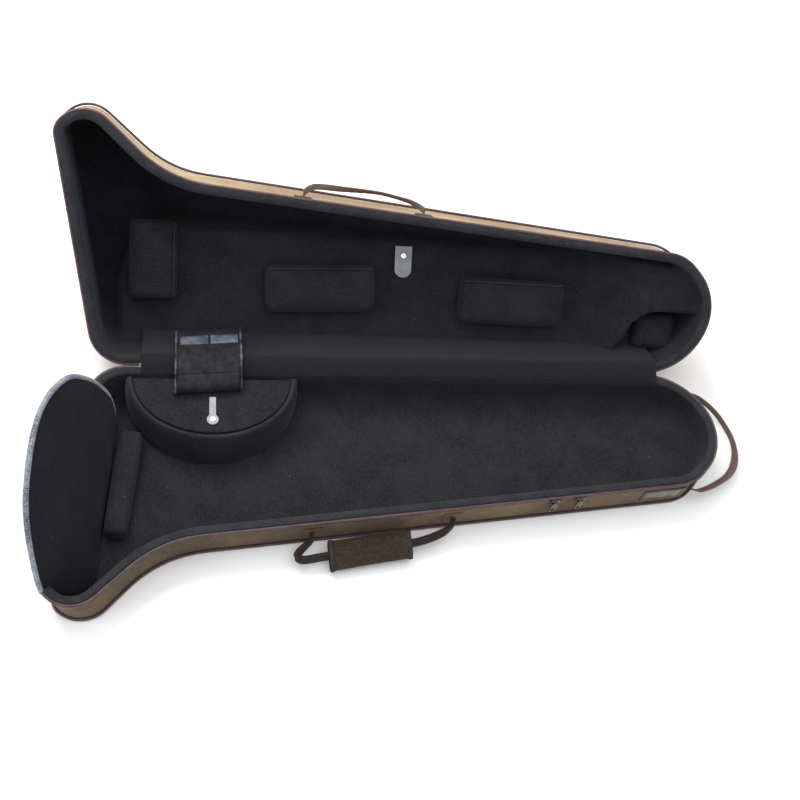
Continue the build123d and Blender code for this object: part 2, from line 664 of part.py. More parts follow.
# ---- End strap at the slide end --------------------------------------------------------------------
END_STRAP_Z = 30.0
END_BACK = (911.0, -6.0)      # the chord that it swings about, in front of its two sewn ends
END_FRONT = (911.0, -180.0)
END_DROOP = 13.0
END_WEB_THICK = 3.0
end_back = at(*END_BACK, END_STRAP_Z)
end_front = at(*END_FRONT, END_STRAP_Z)
end_along = (end_front - end_back).normalized()
end_out = Vector(-end_along.Y, end_along.X, 0)
end_drop = end_out * cos(radians(END_DROOP)) - Vector(0, 0, 1) * sin(radians(END_DROOP))
end_plane = Plane(origin=(end_back + end_front) / 2, x_dir=end_along, z_dir=end_along.cross(end_drop))
end_strap = webbing(end_plane, [(-76, 6), (-82, 36), (-52, 76), (-5, 94), (38, 82), (66, 46), (84, 8)],
                    [16, 38, 50, 44, 48], WEB_WIDE, END_WEB_THICK)
finish(end_strap, "end_strap")


def corner_face(i, angle, height):
    """Outward-facing plane on one of the outline's rounded corners, in a compass direction."""
    corner = Vector(*CORNERS[i])
    before = (Vector(*CORNERS[i - 1]) - corner).normalized()
    after = (Vector(*CORNERS[(i + 1) % len(CORNERS)]) - corner).normalized()
    to_middle = RADII[i] / (1 - before.dot(after)) ** 0.5 * 2 ** 0.5
    middle = corner + (before + after).normalized() * to_middle
    outward = Vector(cos(radians(angle)), sin(radians(angle)), 0)
    spot = middle + outward * (RADII[i] - COVER_OUT + 0.9)
    return Plane(origin=at(spot.X, spot.Y, height), x_dir=(-outward.Y, outward.X, 0), z_dir=outward)


end_strap_patches = wall_patches([corner_face(6, 58, END_STRAP_Z), corner_face(4, -50, END_STRAP_Z)], 18.0, 20.0)
finish(end_strap_patches, "end_strap_patches")

# ---- Zip sliders and pulls -----------------------------------------------------------------------------
SLIDER_XS = (690.0, 728.0)
SLIDER_NAMES = ("left", "right")
SLIDER = (15.0, 8.0, 4.0)
SLIDER_Z = ZIP_TOP - ZIP_TAPE / 2
PULL = (9.0, 26.0, 1.8)

for name, x in zip(SLIDER_NAMES, SLIDER_XS):
    face = front_face(x, SLIDER_Z)
    face = Plane(origin=face.origin + face.z_dir * (ZIP_THICK + GAP), x_dir=face.x_dir, z_dir=face.z_dir)
    with BuildPart(face) as zip_slider:
        Box(*SLIDER, align=(Align.CENTER, Align.CENTER, Align.MIN))
        fillet(zip_slider.edges().filter_by(Axis(face.origin, face.z_dir)), 2.5)
        with Locations((0, 0, SLIDER[2])):
            Box(6, 2, 1.5, align=(Align.CENTER, Align.CENTER, Align.MIN))
    finish(zip_slider.part, f"zip_slider_{name}")
    hang = Plane(origin=face.from_local_coords(Vector(0, -1.8, SLIDER[2] + 0.5)), x_dir=face.x_dir, z_dir=face.z_dir)
    with BuildPart() as zip_pull:
        with BuildSketch(hang):
            RectangleRounded(PULL[0], PULL[1], 3.5, align=(Align.CENTER, Align.MAX))
            with Locations((0, -PULL[1] + 7)):
                SlotOverall(9, 4, rotation=90, mode=Mode.SUBTRACT)
        extrude(amount=PULL[2])
    finish(zip_pull.part, f"zip_pull_{name}")

# ---- Label frame on the front wall -----------------------------------------------------------------------
LABEL_X = 862.0
LABEL_Z = 30.0
label_face = front_face(LABEL_X, LABEL_Z)
with BuildPart(label_face) as label_frame:
    Box(64, 30, 1.4, align=(Align.CENTER, Align.CENTER, Align.MIN))
    with Locations((0, 0, 0.6)):
        Box(54, 20, 1.0, align=(Align.CENTER, Align.CENTER, Align.MIN), mode=Mode.SUBTRACT)
finish(label_frame.part, "label_frame")
with BuildPart(label_face) as label_window:
    with Locations((0, 0, 0.6 + 0.05)):
        Box(53.4, 19.4, 0.4, align=(Align.CENTER, Align.CENTER, Align.MIN))
finish(label_window.part, "label_window")
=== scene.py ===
"""Shaped trombone case, lying open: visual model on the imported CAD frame."""
from math import atan2, cos, exp, pi, radians, sin, tan

import bmesh
import bpy
import numpy as np
from mathutils import Matrix, Vector, noise
from mathutils.geometry import delaunay_2d_cdt


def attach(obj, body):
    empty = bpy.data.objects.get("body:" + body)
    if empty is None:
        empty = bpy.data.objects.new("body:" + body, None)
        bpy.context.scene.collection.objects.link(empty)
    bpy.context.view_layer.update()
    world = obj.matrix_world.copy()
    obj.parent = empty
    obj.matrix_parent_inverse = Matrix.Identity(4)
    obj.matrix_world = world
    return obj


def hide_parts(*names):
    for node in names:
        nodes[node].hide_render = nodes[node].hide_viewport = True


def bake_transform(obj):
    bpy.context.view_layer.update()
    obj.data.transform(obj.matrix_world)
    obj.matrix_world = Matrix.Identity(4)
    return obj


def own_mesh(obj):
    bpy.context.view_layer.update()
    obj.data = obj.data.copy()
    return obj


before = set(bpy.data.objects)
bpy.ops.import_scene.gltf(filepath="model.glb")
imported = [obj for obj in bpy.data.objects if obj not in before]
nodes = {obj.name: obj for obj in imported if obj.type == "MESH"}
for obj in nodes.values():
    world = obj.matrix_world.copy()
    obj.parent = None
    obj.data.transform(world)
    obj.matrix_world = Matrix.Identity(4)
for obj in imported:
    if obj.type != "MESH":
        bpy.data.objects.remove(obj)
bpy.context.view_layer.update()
scene = bpy.context.scene

# ---- Places: case millimetres to metres of the row frame --------------------------------
LENGTH = 950.0          # outside length along the hinge
ORIGIN_Y = -120.0       # case y of the origin
RIM = 62.0              # underside to rim of the base
RIM_GAP = 3.0           # between the two rims when closed
OPEN = radians(134)     # how far the lid is laid back
HINGE_Z = RIM + RIM_GAP / 2
FLOOR_TOP = 9.2         # face of the base's floor lining
LID_HIGH = 190.0        # rim to top of the lid at the bell end
LID_SLOPE = 111.0 / LENGTH
LID_LEAN = 0.045        # outward lean of the lid's bell end per millimetre of height
LID_DRAFT = 0.03        # inward lean of its front wall
BASE_LEAN = 12.0        # outward lean of the base's bell end over its depth
DRAFT_SHARE = (0, 1, 1, 1, 0.35, 0, 0)      # how much of the draft each corner takes
BELL_CORNERS = 3        # the first corners belong to the bell end
CORNERS = [(51, 0), (-3, -325), (39, -364), (148, -261), (902, -181), (970, -111), (914, 0)]
RADII = [52, 26, 43, 160, 68, 86, 100]
ARCS = [14, 8, 12, 20, 14, 20, 20]          # steps round each corner
RUNS = [40, 6, 10, 90, 8, 10, 100]          # and along the straight after it
FRONT_RISE = 80 / 754   # slope of the front wall, seen from above
LAP = 0.3               # a pad's seat sinks this much into what it lies on
LID_Y = Vector((0, cos(OPEN), -sin(OPEN)))
LID_UP = Vector((0, sin(OPEN), cos(OPEN)))


def at(x, y, z):
    """Case millimetres to the row frame."""
    return Vector((x - LENGTH / 2, y - ORIGIN_Y, z)) / 1000


def lid_at(x, y, h):
    """The same on the open lid, with the height measured from its rim."""
    return at(x, 0, HINGE_Z) + (LID_Y * y + LID_UP * (h + RIM_GAP / 2)) / 1000


def front_y(x):
    """Case y of the straight front wall."""
    return -261 + (x - 148) * FRONT_RISE


def outline(inset, bell_out=0.0, front_in=0.0):
    """Points of the case's outline, inset, with the same number of points for every inset."""
    moved = [Vector((x - (bell_out if i < BELL_CORNERS else 0), y + front_in * DRAFT_SHARE[i]))
             for i, (x, y) in enumerate(CORNERS)]
    n = len(moved)
    corners = []
    for i, c in enumerate(moved):
        a = (c - moved[i - 1]).normalized()
        b = (moved[(i + 1) % n] - c).normalized()
        n1, n2 = Vector((-a.y, a.x)), Vector((-b.y, b.x))
        corners.append(c + (n1 + n2) * (inset / (1 + n1.dot(n2))))
    arcs = []
    for i, c in enumerate(corners):
        a = (c - corners[i - 1]).normalized()
        b = (corners[(i + 1) % n] - c).normalized()
        turn = a.x * b.y - a.y * b.x
        angle = atan2(turn, a.dot(b))
        r = RADII[i] + inset if turn < 0 else max(RADII[i] - inset, 3.0)
        t = r * tan(abs(angle) / 2)
        first = c - a * t
        side = Vector((-a.y, a.x)) * (1 if turn > 0 else -1)
        middle = first + side * r
        arm = first - middle
        steps = [angle * k / ARCS[i] for k in range(ARCS[i] + 1)]
        arcs.append([middle + Vector((arm.x * cos(q) - arm.y * sin(q), arm.x * sin(q) + arm.y * cos(q)))
                     for q in steps])
    points = []
    for i, arc in enumerate(arcs):
        points += arc
        nxt = arcs[(i + 1) % n][0]
        points += [arc[-1].lerp(nxt, k / RUNS[i]) for k in range(1, RUNS[i])]
    return points


# ---- Materials ---------------------------------------------------------------------------
class Mat:
    """Small wrapper for a node material; co gives object coordinates, turned for the lid."""

    def __init__(self, name, turned=False):
        self.m = bpy.data.materials.new(name)
        self.m.use_nodes = True
        self.t = self.m.node_tree
        self.t.nodes.clear()
        self.b = self.t.nodes.new("ShaderNodeBsdfPrincipled")
        out = self.t.nodes.new("ShaderNodeOutputMaterial")
        self.t.links.new(self.b.outputs[0], out.inputs[0])
        places = self.t.nodes.new("ShaderNodeTexCoord").outputs
        self.co, self.normal, self.uv = places["Object"], places["Normal"], places["UV"]
        if turned:
            self.co = self.turn(self.co)
            self.normal = self.turn(self.normal)

    def turn(self, socket):
        node = self.node("VectorRotate", Vector=socket)
        node.rotation_type = "X_AXIS"
        node.inputs["Angle"].default_value = float(OPEN)
        return node.outputs[0]

    def node(self, kind, **inputs):
        """New node, with some of its inputs linked or set."""
        node = self.t.nodes.new("ShaderNode" + kind)
        for key, value in inputs.items():
            self.put(node.inputs[key], value)
        return node

    def put(self, socket, value):
        if isinstance(value, bpy.types.NodeSocket):
            self.t.links.new(value, socket)
        elif value is not None:
            if socket.type == "RGBA" and len(value) == 3:
                value = (*value, 1)
            socket.default_value = value

    def set(self, **values):
        for key, value in values.items():
            self.put(self.b.inputs[key.replace("_", " ")], value)

    def math(self, op, a, b=None):
        node = self.node("Math")
        node.operation = op
        self.put(node.inputs[0], a)
        self.put(node.inputs[1], b)
        return node.outputs[0]

    def add(self, a, b):
        return self.math("ADD", a, b)

    def times(self, a, b):
        return self.math("MULTIPLY", a, b)

    def sine(self, a, factor):
        return self.math("SINE", self.times(a, factor))

    def scaled(self, x, y, z):
        node = self.node("VectorMath")
        node.operation = "MULTIPLY"
        self.put(node.inputs[0], self.co)
        node.inputs[1].default_value = (x, y, z)
        return node.outputs[0]

    def split(self, source):
        return self.node("SeparateXYZ", Vector=source).outputs

    def noise(self, scale, detail=2.0, rough=0.5, source=None):
        source = source or self.co
        return self.node("TexNoise", Vector=source, Scale=scale, Detail=detail, Roughness=rough).outputs["Fac"]

    def cells(self, scale):
        return self.node("TexVoronoi", Vector=self.co, Scale=scale).outputs["Distance"]

    def ramp(self, value, low, high, a=0.0, b=1.0):
        node = self.node("MapRange", Value=value)
        node.interpolation_type = "SMOOTHSTEP"
        for i, v in enumerate((low, high, a, b)):
            node.inputs[i + 1].default_value = v
        return node.outputs[0]

    def mix(self, factor, a, b):
        node = self.node("Mix")
        node.data_type = "RGBA"
        for i, v in ((0, factor), (6, a), (7, b)):
            self.put(node.inputs[i], v)
        return node.outputs[2]

    def bump(self, height, strength, distance):
        node = self.node("Bump", Strength=strength, Distance=distance, Height=height)
        self.put(self.b.inputs["Normal"], node.outputs[0])


def plush_material(name, dark, light, lint=0.5, sheen=0.05):
    """Short pile, cloudy over a hand's width, with rare specks of lint."""
    m = Mat(name)
    broad = m.noise(22, 3, 0.6)
    fine = m.noise(470, 3, 0.85)
    pile = m.ramp(fine, 0.40, 0.66)
    colour = m.mix(m.ramp(broad, 0.35, 0.68), dark, light)
    colour = m.mix(m.times(pile, 0.62), colour, tuple(c * 2.1 for c in light))
    specks = m.ramp(m.cells(70), 0.03, 0.06, 1.0, 0.0)
    rare = m.ramp(m.noise(31, 2), 0.56, 0.66)
    fleck = m.times(m.times(specks, rare), lint)
    colour = m.mix(fleck, colour, (0.30, 0.31, 0.33))
    m.set(Base_Color=colour, Roughness=0.92, Sheen_Weight=sheen, Sheen_Roughness=0.5,
          Sheen_Tint=(0.78, 0.80, 0.90))
    m.b.inputs["Specular IOR Level"].default_value = 0.18
    m.bump(m.add(m.times(fine, 0.5), m.noise(260, 3)), 0.55, 0.0009)
    return m.m


def canvas_material(name, light, dark, turned=False):
    """Canvas woven at THREAD, laid on each face from the side it turns to, and flecked along its threads."""
    m = Mat(name, turned)
    x, y, z = m.split(m.scaled(1000, 1000, 1000))
    nx, ny, nz = m.split(m.normal)
    k = 2 * pi / THREAD

    def wave(a, b):
        return m.times(m.sine(a, k), m.sine(b, k))

    wx, wy, wz = (m.math("POWER", m.math("ABSOLUTE", n), 4.0) for n in (nx, ny, nz))
    weave = m.add(m.add(m.times(wave(y, z), wx), m.times(wave(x, z), wy)), m.times(wave(x, y), wz))
    weave = m.math("DIVIDE", weave, m.add(m.add(wx, wy), wz))
    level = m.ramp(weave, -0.7, 0.7)
    across = m.noise(1, 2, 0.6, m.scaled(90, 90, 950))
    along = m.noise(1, 2, 0.6, m.scaled(800, 800, 70))
    flecks = m.noise(400, 2, 0.7)
    worn = m.noise(9, 3, 0.6)
    tone = m.add(m.add(m.times(across, 0.20), m.times(along, 0.20)), m.times(flecks, 0.60))
    colour = m.mix(m.ramp(tone, 0.44, 0.57), dark, light)
    colour = m.mix(m.times(level, 0.30), tuple(c * 0.62 for c in dark), colour)
    colour = m.mix(m.ramp(worn, 0.4, 0.75, 0.0, 0.22), colour, tuple(min(1, c * 1.25) for c in light))
    m.set(Base_Color=colour, Roughness=0.88, Sheen_Weight=0.12)
    m.b.inputs["Specular IOR Level"].default_value = 0.2
    m.bump(m.add(weave, m.times(flecks, 0.8)), 0.5, 0.0005)
    return m.m


def smooth_material(name, base, other, roughness, grain=600, strength=0.25, metal=0.0, coat=0.0, gloss=0.5):
    """Leather, piping or metal: two tones in clouds, uneven roughness and a fine grain."""
    m = Mat(name)
    m.b.inputs["Specular IOR Level"].default_value = gloss
    colour = m.mix(m.ramp(m.noise(60, 4, 0.6), 0.35, 0.7), base, other)
    rough = m.ramp(m.noise(140, 3), 0.3, 0.7, roughness * 0.85, min(1.0, roughness * 1.15))
    m.set(Base_Color=colour, Roughness=rough, Metallic=metal, Coat_Weight=coat)
    m.bump(m.noise(grain, 3, 0.6), strength, 0.0003)
    return m.m


def web_material(name, base, other, per_m=520):
    """Woven webbing: fine ribs along the strap's UV v, flecked threads across."""
    m = Mat(name)
    u, v, _ = m.split(m.uv)
    weave = m.add(m.times(m.sine(v, per_m * 2 * pi), 0.6), m.times(m.sine(u, 14 * 2 * pi), 0.4))
    colour = m.mix(m.ramp(m.noise(500, 3, 0.7), 0.35, 0.65), base, other)
    colour = m.mix(m.ramp(weave, -0.8, 0.6, 0.35, 0.0), colour, tuple(c * 0.4 for c in base))
    m.set(Base_Color=colour, Roughness=0.85, Sheen_Weight=0.06)
    m.b.inputs["Specular IOR Level"].default_value = 0.2
    m.bump(weave, 0.5, 0.0004)
    return m.m


THREAD = 1.9            # the canvas's weave repeats at this many millimetres
PLUSH = plush_material("plush", (0.0066, 0.0066, 0.0086), (0.0128, 0.0126, 0.0160))
# Lighter plush for rims and welts: real wear and lint, plus a painted highlight where the rolled edges catch
# the light.
PLUSH_WORN_HIGHLIGHT = plush_material("plush_worn_painted_highlight", (0.0100, 0.0100, 0.0130), (0.0190, 0.0195, 0.0240), 0.9, 0.07)
PANEL = plush_material("plush_panel", (0.0038, 0.0038, 0.0050), (0.0078, 0.0078, 0.0100), 0.5, 0.04)
# Pale plush for the bell panel's rolled edge: worn plush with a painted highlight where the edge faces the
# light.
ROLL_WORN_HIGHLIGHT = plush_material("plush_roll_worn_painted_highlight", (0.030, 0.033, 0.040), (0.21, 0.225, 0.26), 0.9, 0.2)
CLOTH = web_material("lining_cloth", (0.0050, 0.0052, 0.0075), (0.0112, 0.0118, 0.0165), 900)
CANVAS = canvas_material("canvas", (0.80, 0.61, 0.38), (0.38, 0.245, 0.13), turned=True)
# The lid's canvas again, in darker tones: painted shade on the base's cover, underside and handle patches,
# which face away from the light.
CANVAS_PAINTED_SHADE = canvas_material("canvas_dark", (0.36, 0.225, 0.100), (0.085, 0.050, 0.026))
GRIP = canvas_material("grip_canvas", (0.155, 0.110, 0.058), (0.026, 0.017, 0.011))
PIPING = smooth_material("piping", (0.040, 0.019, 0.022), (0.070, 0.036, 0.039), 0.5)
WEB = web_material("webbing", (0.105, 0.058, 0.055), (0.190, 0.125, 0.115))
WEB_DARK = web_material("webbing_dark", (0.014, 0.009, 0.007), (0.034, 0.023, 0.018))
PLY = smooth_material("plywood", (0.45, 0.33, 0.2), (0.36, 0.25, 0.14), 0.6)
GREY = smooth_material("tab_leather", (0.19, 0.20, 0.22), (0.27, 0.28, 0.30), 0.42, 900, 0.2)
BRIGHT = smooth_material("metal_bright", (0.80, 0.80, 0.82), (0.7, 0.7, 0.72), 0.18, 300, 0.05, metal=1.0)
BRONZE = smooth_material("metal_dark", (0.085, 0.072, 0.060), (0.16, 0.14, 0.12), 0.30, 400, 0.1, metal=1.0)
TAPE = smooth_material("zip_tape", (0.030, 0.016, 0.018), (0.055, 0.030, 0.034), 0.7, 900, 0.4)
BINDING = smooth_material("binding", (0.020, 0.012, 0.010), (0.042, 0.027, 0.023), 0.7, 700, 0.35, gloss=0.2)
FRAME = smooth_material("label_leather", (0.045, 0.030, 0.022), (0.085, 0.060, 0.044), 0.6, 700, 0.3)
WINDOW = smooth_material("label_clear", (0.055, 0.042, 0.034), (0.15, 0.12, 0.095), 0.30, 60, 0.5, coat=0.15)
HOOK = smooth_material("hook_strip", (0.040, 0.046, 0.060), (0.125, 0.140, 0.180), 0.75, 1000, 1.0, gloss=0.3)
FRAY = smooth_material("frayed_binding", (0.016, 0.016, 0.019), (0.11, 0.11, 0.118), 0.9, 900, 0.8, gloss=0.15)
POUCH = smooth_material("pouch_cloth", (0.0115, 0.0120, 0.0150), (0.0225, 0.0230, 0.0285), 0.85, 500, 0.8,
                        gloss=0.15)

SLOTS = {
    CANVAS: "lid_cover lid_floor_panel",
    CANVAS_PAINTED_SHADE: "base_cover base_underside handle_patches",
    PLY: "base_shell lid_shell",
    PIPING: "base_rim_piping base_foot_piping lid_rim_piping lid_top_piping",
    TAPE: "base_zip_tape lid_zip_tape",
    BINDING: "hinge_tape_base hinge_tape_lid",
    GREY: "box_pull_tab slide_tab",
    BRIGHT: "pull_tab_rivet tab_stud",
    WEB_DARK: "lid_strap_patches end_strap_patches",
    BRONZE: "zip_slider_left zip_slider_right zip_pull_left zip_pull_right",
    FRAME: "label_frame",
    WINDOW: "label_window",
}
for name, o in nodes.items():
    o.data.materials.clear()
    o.data.materials.append(next((m for m, names in SLOTS.items() if name in names.split()), PLUSH))


# ---- Mesh helpers ------------------------------------------------------------------------
def new_object(name, verts, faces, material, uvs=None):
    """Smooth-shaded object from vertices in metres; uvs has one pair for each vertex."""
    mesh = bpy.data.meshes.new(name)
    mesh.from_pydata([tuple(v) for v in verts], [], faces)
    if uvs:
        layer = mesh.uv_layers.new(name="UVMap")
        for loop in mesh.loops:
            layer.data[loop.index].uv = uvs[loop.vertex_index]
    mesh.validate()
    mesh.materials.append(material)
    mesh.polygons.foreach_set("use_smooth", [True] * len(mesh.polygons))
    o = bpy.data.objects.new(name, mesh)
    scene.collection.objects.link(o)
    return o


def strips(rings, closed=True):
    """Vertices and quads between rings of equally many points."""
    n = len(rings[0])
    verts = [p for ring in rings for p in ring]
    faces = []
    for r in range(len(rings) - 1):
        for k in range(n if closed else n - 1):
            a, b = r * n + k, r * n + (k + 1) % n
            faces.append((a, b, b + n, a + n))
    return verts, faces


def capped(rings):
    """Parts of a closed form: the strips between its rings, and a fan over the first and the last."""
    n = len(rings[0])
    parts = [strips(rings)]
    for ring in (rings[0], rings[-1]):
        mid = sum(ring, Vector()) / n
        parts.append((ring + [mid], [(k, (k + 1) % n, n) for k in range(n)]))
    return parts


def inside(points, polygon):
    """Which of the points (n,2) lie in the polygon."""
    px, py = points[:, 0], points[:, 1]
    result = np.zeros(len(points), bool)
    a = np.array(polygon, float)
    b = np.roll(a, -1, 0)
    for (x1, y1), (x2, y2) in zip(a, b):
        hit = ((y1 > py) != (y2 > py)) & (px < (x2 - x1) * (py - y1) / ((y2 - y1) or 1e-9) + x1)
        result ^= hit
    return result


def distance(points, polygon, closed=True):
    """Distance of each point to a polyline."""
    a = np.array(polygon, float)
    b = np.roll(a, -1, 0)
    if not closed:
        a, b = a[:-1], b[:-1]
    best = np.full(len(points), 1e9)
    for p, q in zip(a, b):
        d = q - p
        t = np.clip(((points - p) @ d) / max(d @ d, 1e-12), 0, 1)
        best = np.minimum(best, np.hypot(*(points - p - t[:, None] * d).T))
    return best


def fill(boundary, cell):
    """Triangulated inside of a polygon with a jittered grid of points: (points, faces)."""
    edge = np.array([(p[0], p[1]) for p in boundary], float)
    low, high = edge.min(0), edge.max(0)
    xs, ys = np.meshgrid(np.arange(low[0], high[0], cell), np.arange(low[1], high[1], cell))
    grid = np.stack([xs.ravel(), ys.ravel()], 1)
    grid[:, 0] += np.where(np.round((grid[:, 1] - low[1]) / cell) % 2, cell / 2, 0)
    grid = grid[inside(grid, edge)]
    grid = grid[distance(grid, edge) > cell * 0.55]
    points = [Vector(p) for p in np.vstack([edge, grid])]
    n = len(edge)
    out = delaunay_2d_cdt(points, [(k, (k + 1) % n) for k in range(n)], [], 1, 1e-6)
    return np.array([(p.x, p.y) for p in out[0]]), [tuple(f) for f in out[2]]


WELD = 2e-5


def join_parts(name, parts, material, up=None):
    """One object from several (verts, faces), welded; an open one has its normals turned towards up."""
    verts, faces = [], []
    for v, f in parts:
        k = len(verts)
        verts += list(v)
        faces += [tuple(i + k for i in face) for face in f]
    o = new_object(name, verts, faces, material)
    bm = bmesh.new()
    bm.from_mesh(o.data)
    bmesh.ops.remove_doubles(bm, verts=bm.verts, dist=WELD)
    bmesh.ops.recalc_face_normals(bm, faces=bm.faces)
    if up is not None:
        lean = sum((f.normal.dot(up) * f.calc_area() for f in bm.faces), 0.0)
        if lean < 0:
            bmesh.ops.reverse_faces(bm, faces=bm.faces)
    bm.to_mesh(o.data)
    bm.free()
    return o


def ruffle(o, amount, scale, seed=0.0, keep=None):
    """Small soft unevenness along the normals, in metres."""
    normals = [v.normal.copy() for v in o.data.vertices]
    for v, n in zip(o.data.vertices, normals):
        f = keep(v.co) if keep else 1.0
        q = noise.noise(v.co * scale + Vector((seed, seed, seed)))
        q += 0.5 * noise.noise(v.co * scale * 2.3 + Vector((seed, 7, seed)))
        v.co += n * (q * amount * f)
    o.data.update()


def smooth01(x):
    x = np.clip(x, 0, 1)
    return x * x * (3 - 2 * x)


# ---- Camera, light, floor ------------------------------------------------------------------
PITCH, YAW, ROLL = radians(57.54), radians(19.02), radians(17.25)
CAMERA_AT = (-0.308, -0.750, 1.539)
forward = Vector((sin(YAW) * cos(PITCH), cos(YAW) * cos(PITCH), -sin(PITCH)))
right = Vector((cos(YAW), -sin(YAW), 0))
above = right.cross(forward)
rolled_right = right * cos(ROLL) + above * sin(ROLL)
rolled_up = above * cos(ROLL) - right * sin(ROLL)
camera = bpy.data.objects.new("camera", bpy.data.cameras.new("camera"))
scene.collection.objects.link(camera)
turn = Matrix((rolled_right, rolled_up, -forward)).transposed()
camera.matrix_world = Matrix.Translation(CAMERA_AT) @ turn.to_4x4()
camera.data.lens = 54.0
camera.data.sensor_width = 36.0
camera.data.shift_x = 0.0096
camera.data.shift_y = -0.0511
camera.data.clip_start = 0.05
scene.camera = camera
scene.view_settings.view_transform = "Standard"

world = bpy.data.worlds.new("studio")
world.use_nodes = True
backdrop = world.node_tree.nodes["Background"]
backdrop.inputs[0].default_value = (1.0, 1.0, 1.0, 1)
backdrop.inputs[1].default_value = 0.75
scene.world = world


def area_light(name, place, target, size, power, colour=(1, 1, 1)):
    """Softbox at place, turned to target."""
    data = bpy.data.lights.new(name, "AREA")
    data.shape = "RECTANGLE"
    data.size, data.size_y = size
    data.energy = power
    data.color = colour
    o = bpy.data.objects.new(name, data)
    scene.collection.objects.link(o)
    o.location = place
    o.rotation_euler = (Vector(target) - Vector(place)).to_track_quat("-Z", "Y").to_euler()


area_light("key", (-0.9, 1.5, 2.2), (0, 0.1, 0.05), (1.6, 1.2), 62, (1.0, 0.99, 0.97))
area_light("top", (0.2, -0.1, 2.6), (0, 0.1, 0), (2.4, 2.4), 34)
area_light("left", (-2.2, -0.4, 1.1), (-0.3, 0, 0.1), (1.2, 1.2), 16, (0.94, 0.97, 1.0))

floor_mat = Mat("floor")
floor_tone = floor_mat.mix(floor_mat.noise(3, 2), (0.86, 0.86, 0.86), (0.89, 0.89, 0.89))
floor_mat.set(Base_Color=floor_tone, Roughness=0.9)
FLOOR_HALF = 6
floor_corners = [(FLOOR_HALF * x, FLOOR_HALF * y, 0) for x, y in ((-1, -1), (1, -1), (1, 1), (-1, 1))]
floor = new_object("floor", floor_corners, [(0, 1, 2, 3)], floor_mat.m)
floor.location.z = -0.0004

# ---- Linings ---------------------------------------------------------------------------------
# Rolled rim of both halves, as (inset, height over the rim).
RIM_ROLL = [(2.6, -1.0), (2.9, 0.5), (4.6, 1.3), (8.0, 1.5), (11.4, 0.8), (13.4, -1.1), (14.1, -4.0)]
BASE_WALL = [(14.3, 50), (14.5, 42), (14.8, 35), (15.4, 29), (16.6, 23.7)]
COVE = 14
COVE_WIDE = 15


def worn_highlit_rim(o, is_rim):
    """Second material on the rolled rim: rubbed, linty plush, made lighter than the rest as a painted
    highlight.
    """
    o.data.materials.append(PLUSH_WORN_HIGHLIGHT)
    for face in o.data.polygons:
        if is_rim(face.center):
            face.material_index = 1


rings = [[at(p.x, p.y, z) for p in outline(inset, -BASE_LEAN * (1 - z / RIM))]
         for inset, z in [(inset, RIM + up) for inset, up in RIM_ROLL] + BASE_WALL]
rim = [(p.x * 1000, p.y * 1000) for p in rings[-1]]
xy, faces = fill(rim, 8)
cove = COVE * np.clip(1 - distance(xy, rim) / COVE_WIDE, 0, 1) ** 1.1
floor_verts = []
for (x, y), c in zip(xy, cove):
    wave = 0.5 * noise.noise(Vector((x / 70, y / 55, 3.0))) * (c < COVE - 1)
    floor_verts.append(Vector((x, y, 9.7 + c + wave)) / 1000)
lining = join_parts("base_lining_plush", [strips(rings), (floor_verts, faces)], PLUSH, Vector((0, 0, 1)))
ruffle(lining, 0.0007, 22, 1.0, lambda p: min(1.0, max(0.0, (0.058 - p.z) / 0.02)))
worn_highlit_rim(lining, lambda c: c.z > 0.0605)
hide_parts("base_lining")
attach(lining, "base")

# Slide bed, the lower block at its end, and the crease along the bed, as case points on the lid.
BED_EDGE = [(78, -37), (76, -84), (90, -130), (112, -170), (150, -186), (287, -184), (397, -181), (546, -175),
            (646, -171), (778, -172), (844, -170), (885, -167), (932, -154), (964, -128), (976, -100),
            (980, -70), (980, 60), (78, 60)]
BLOCK_EDGE = [(700, -400), (1100, -400), (1100, -85), (905, -85), (878, -85), (862, -83), (851, -77),
              (844, -68), (839, -57), (833, -44), (825, -30), (813, -17), (803, -4), (800, 12), (800, 60),
              (700, 60)]
CREASE = [(330, -141), (420, -137), (518, -128), (583, -124), (748, -118), (814, -119), (846, -127)]


def signed(points, polygon):
    """Distance to a polygon, negative outside it."""
    d = distance(points, polygon)
    return np.where(inside(points, polygon), d, -d)


def bed_h(x, y):
    """Lid height of the bed's plane."""
    return 88.0 - 0.033 * x - 0.124 * y


# Soft hollows and swellings of the bed: x, y, height, width.
DENTS = [(200, -70, 1.4, 34), (240, -54, -1.6, 30), (520, -70, 1.8, 46), (770, -75, -2.2, 34),
         (800, -95, 2.0, 26), (505, -105, 1.5, 40), (190, -150, -1.3, 40), (700, -40, 1.6, 50)]
TAB_LIFT = 1.3          # the bed is stuffed up to the tab's stud
BLOCK_LOW = 23          # lid height of the end block's face


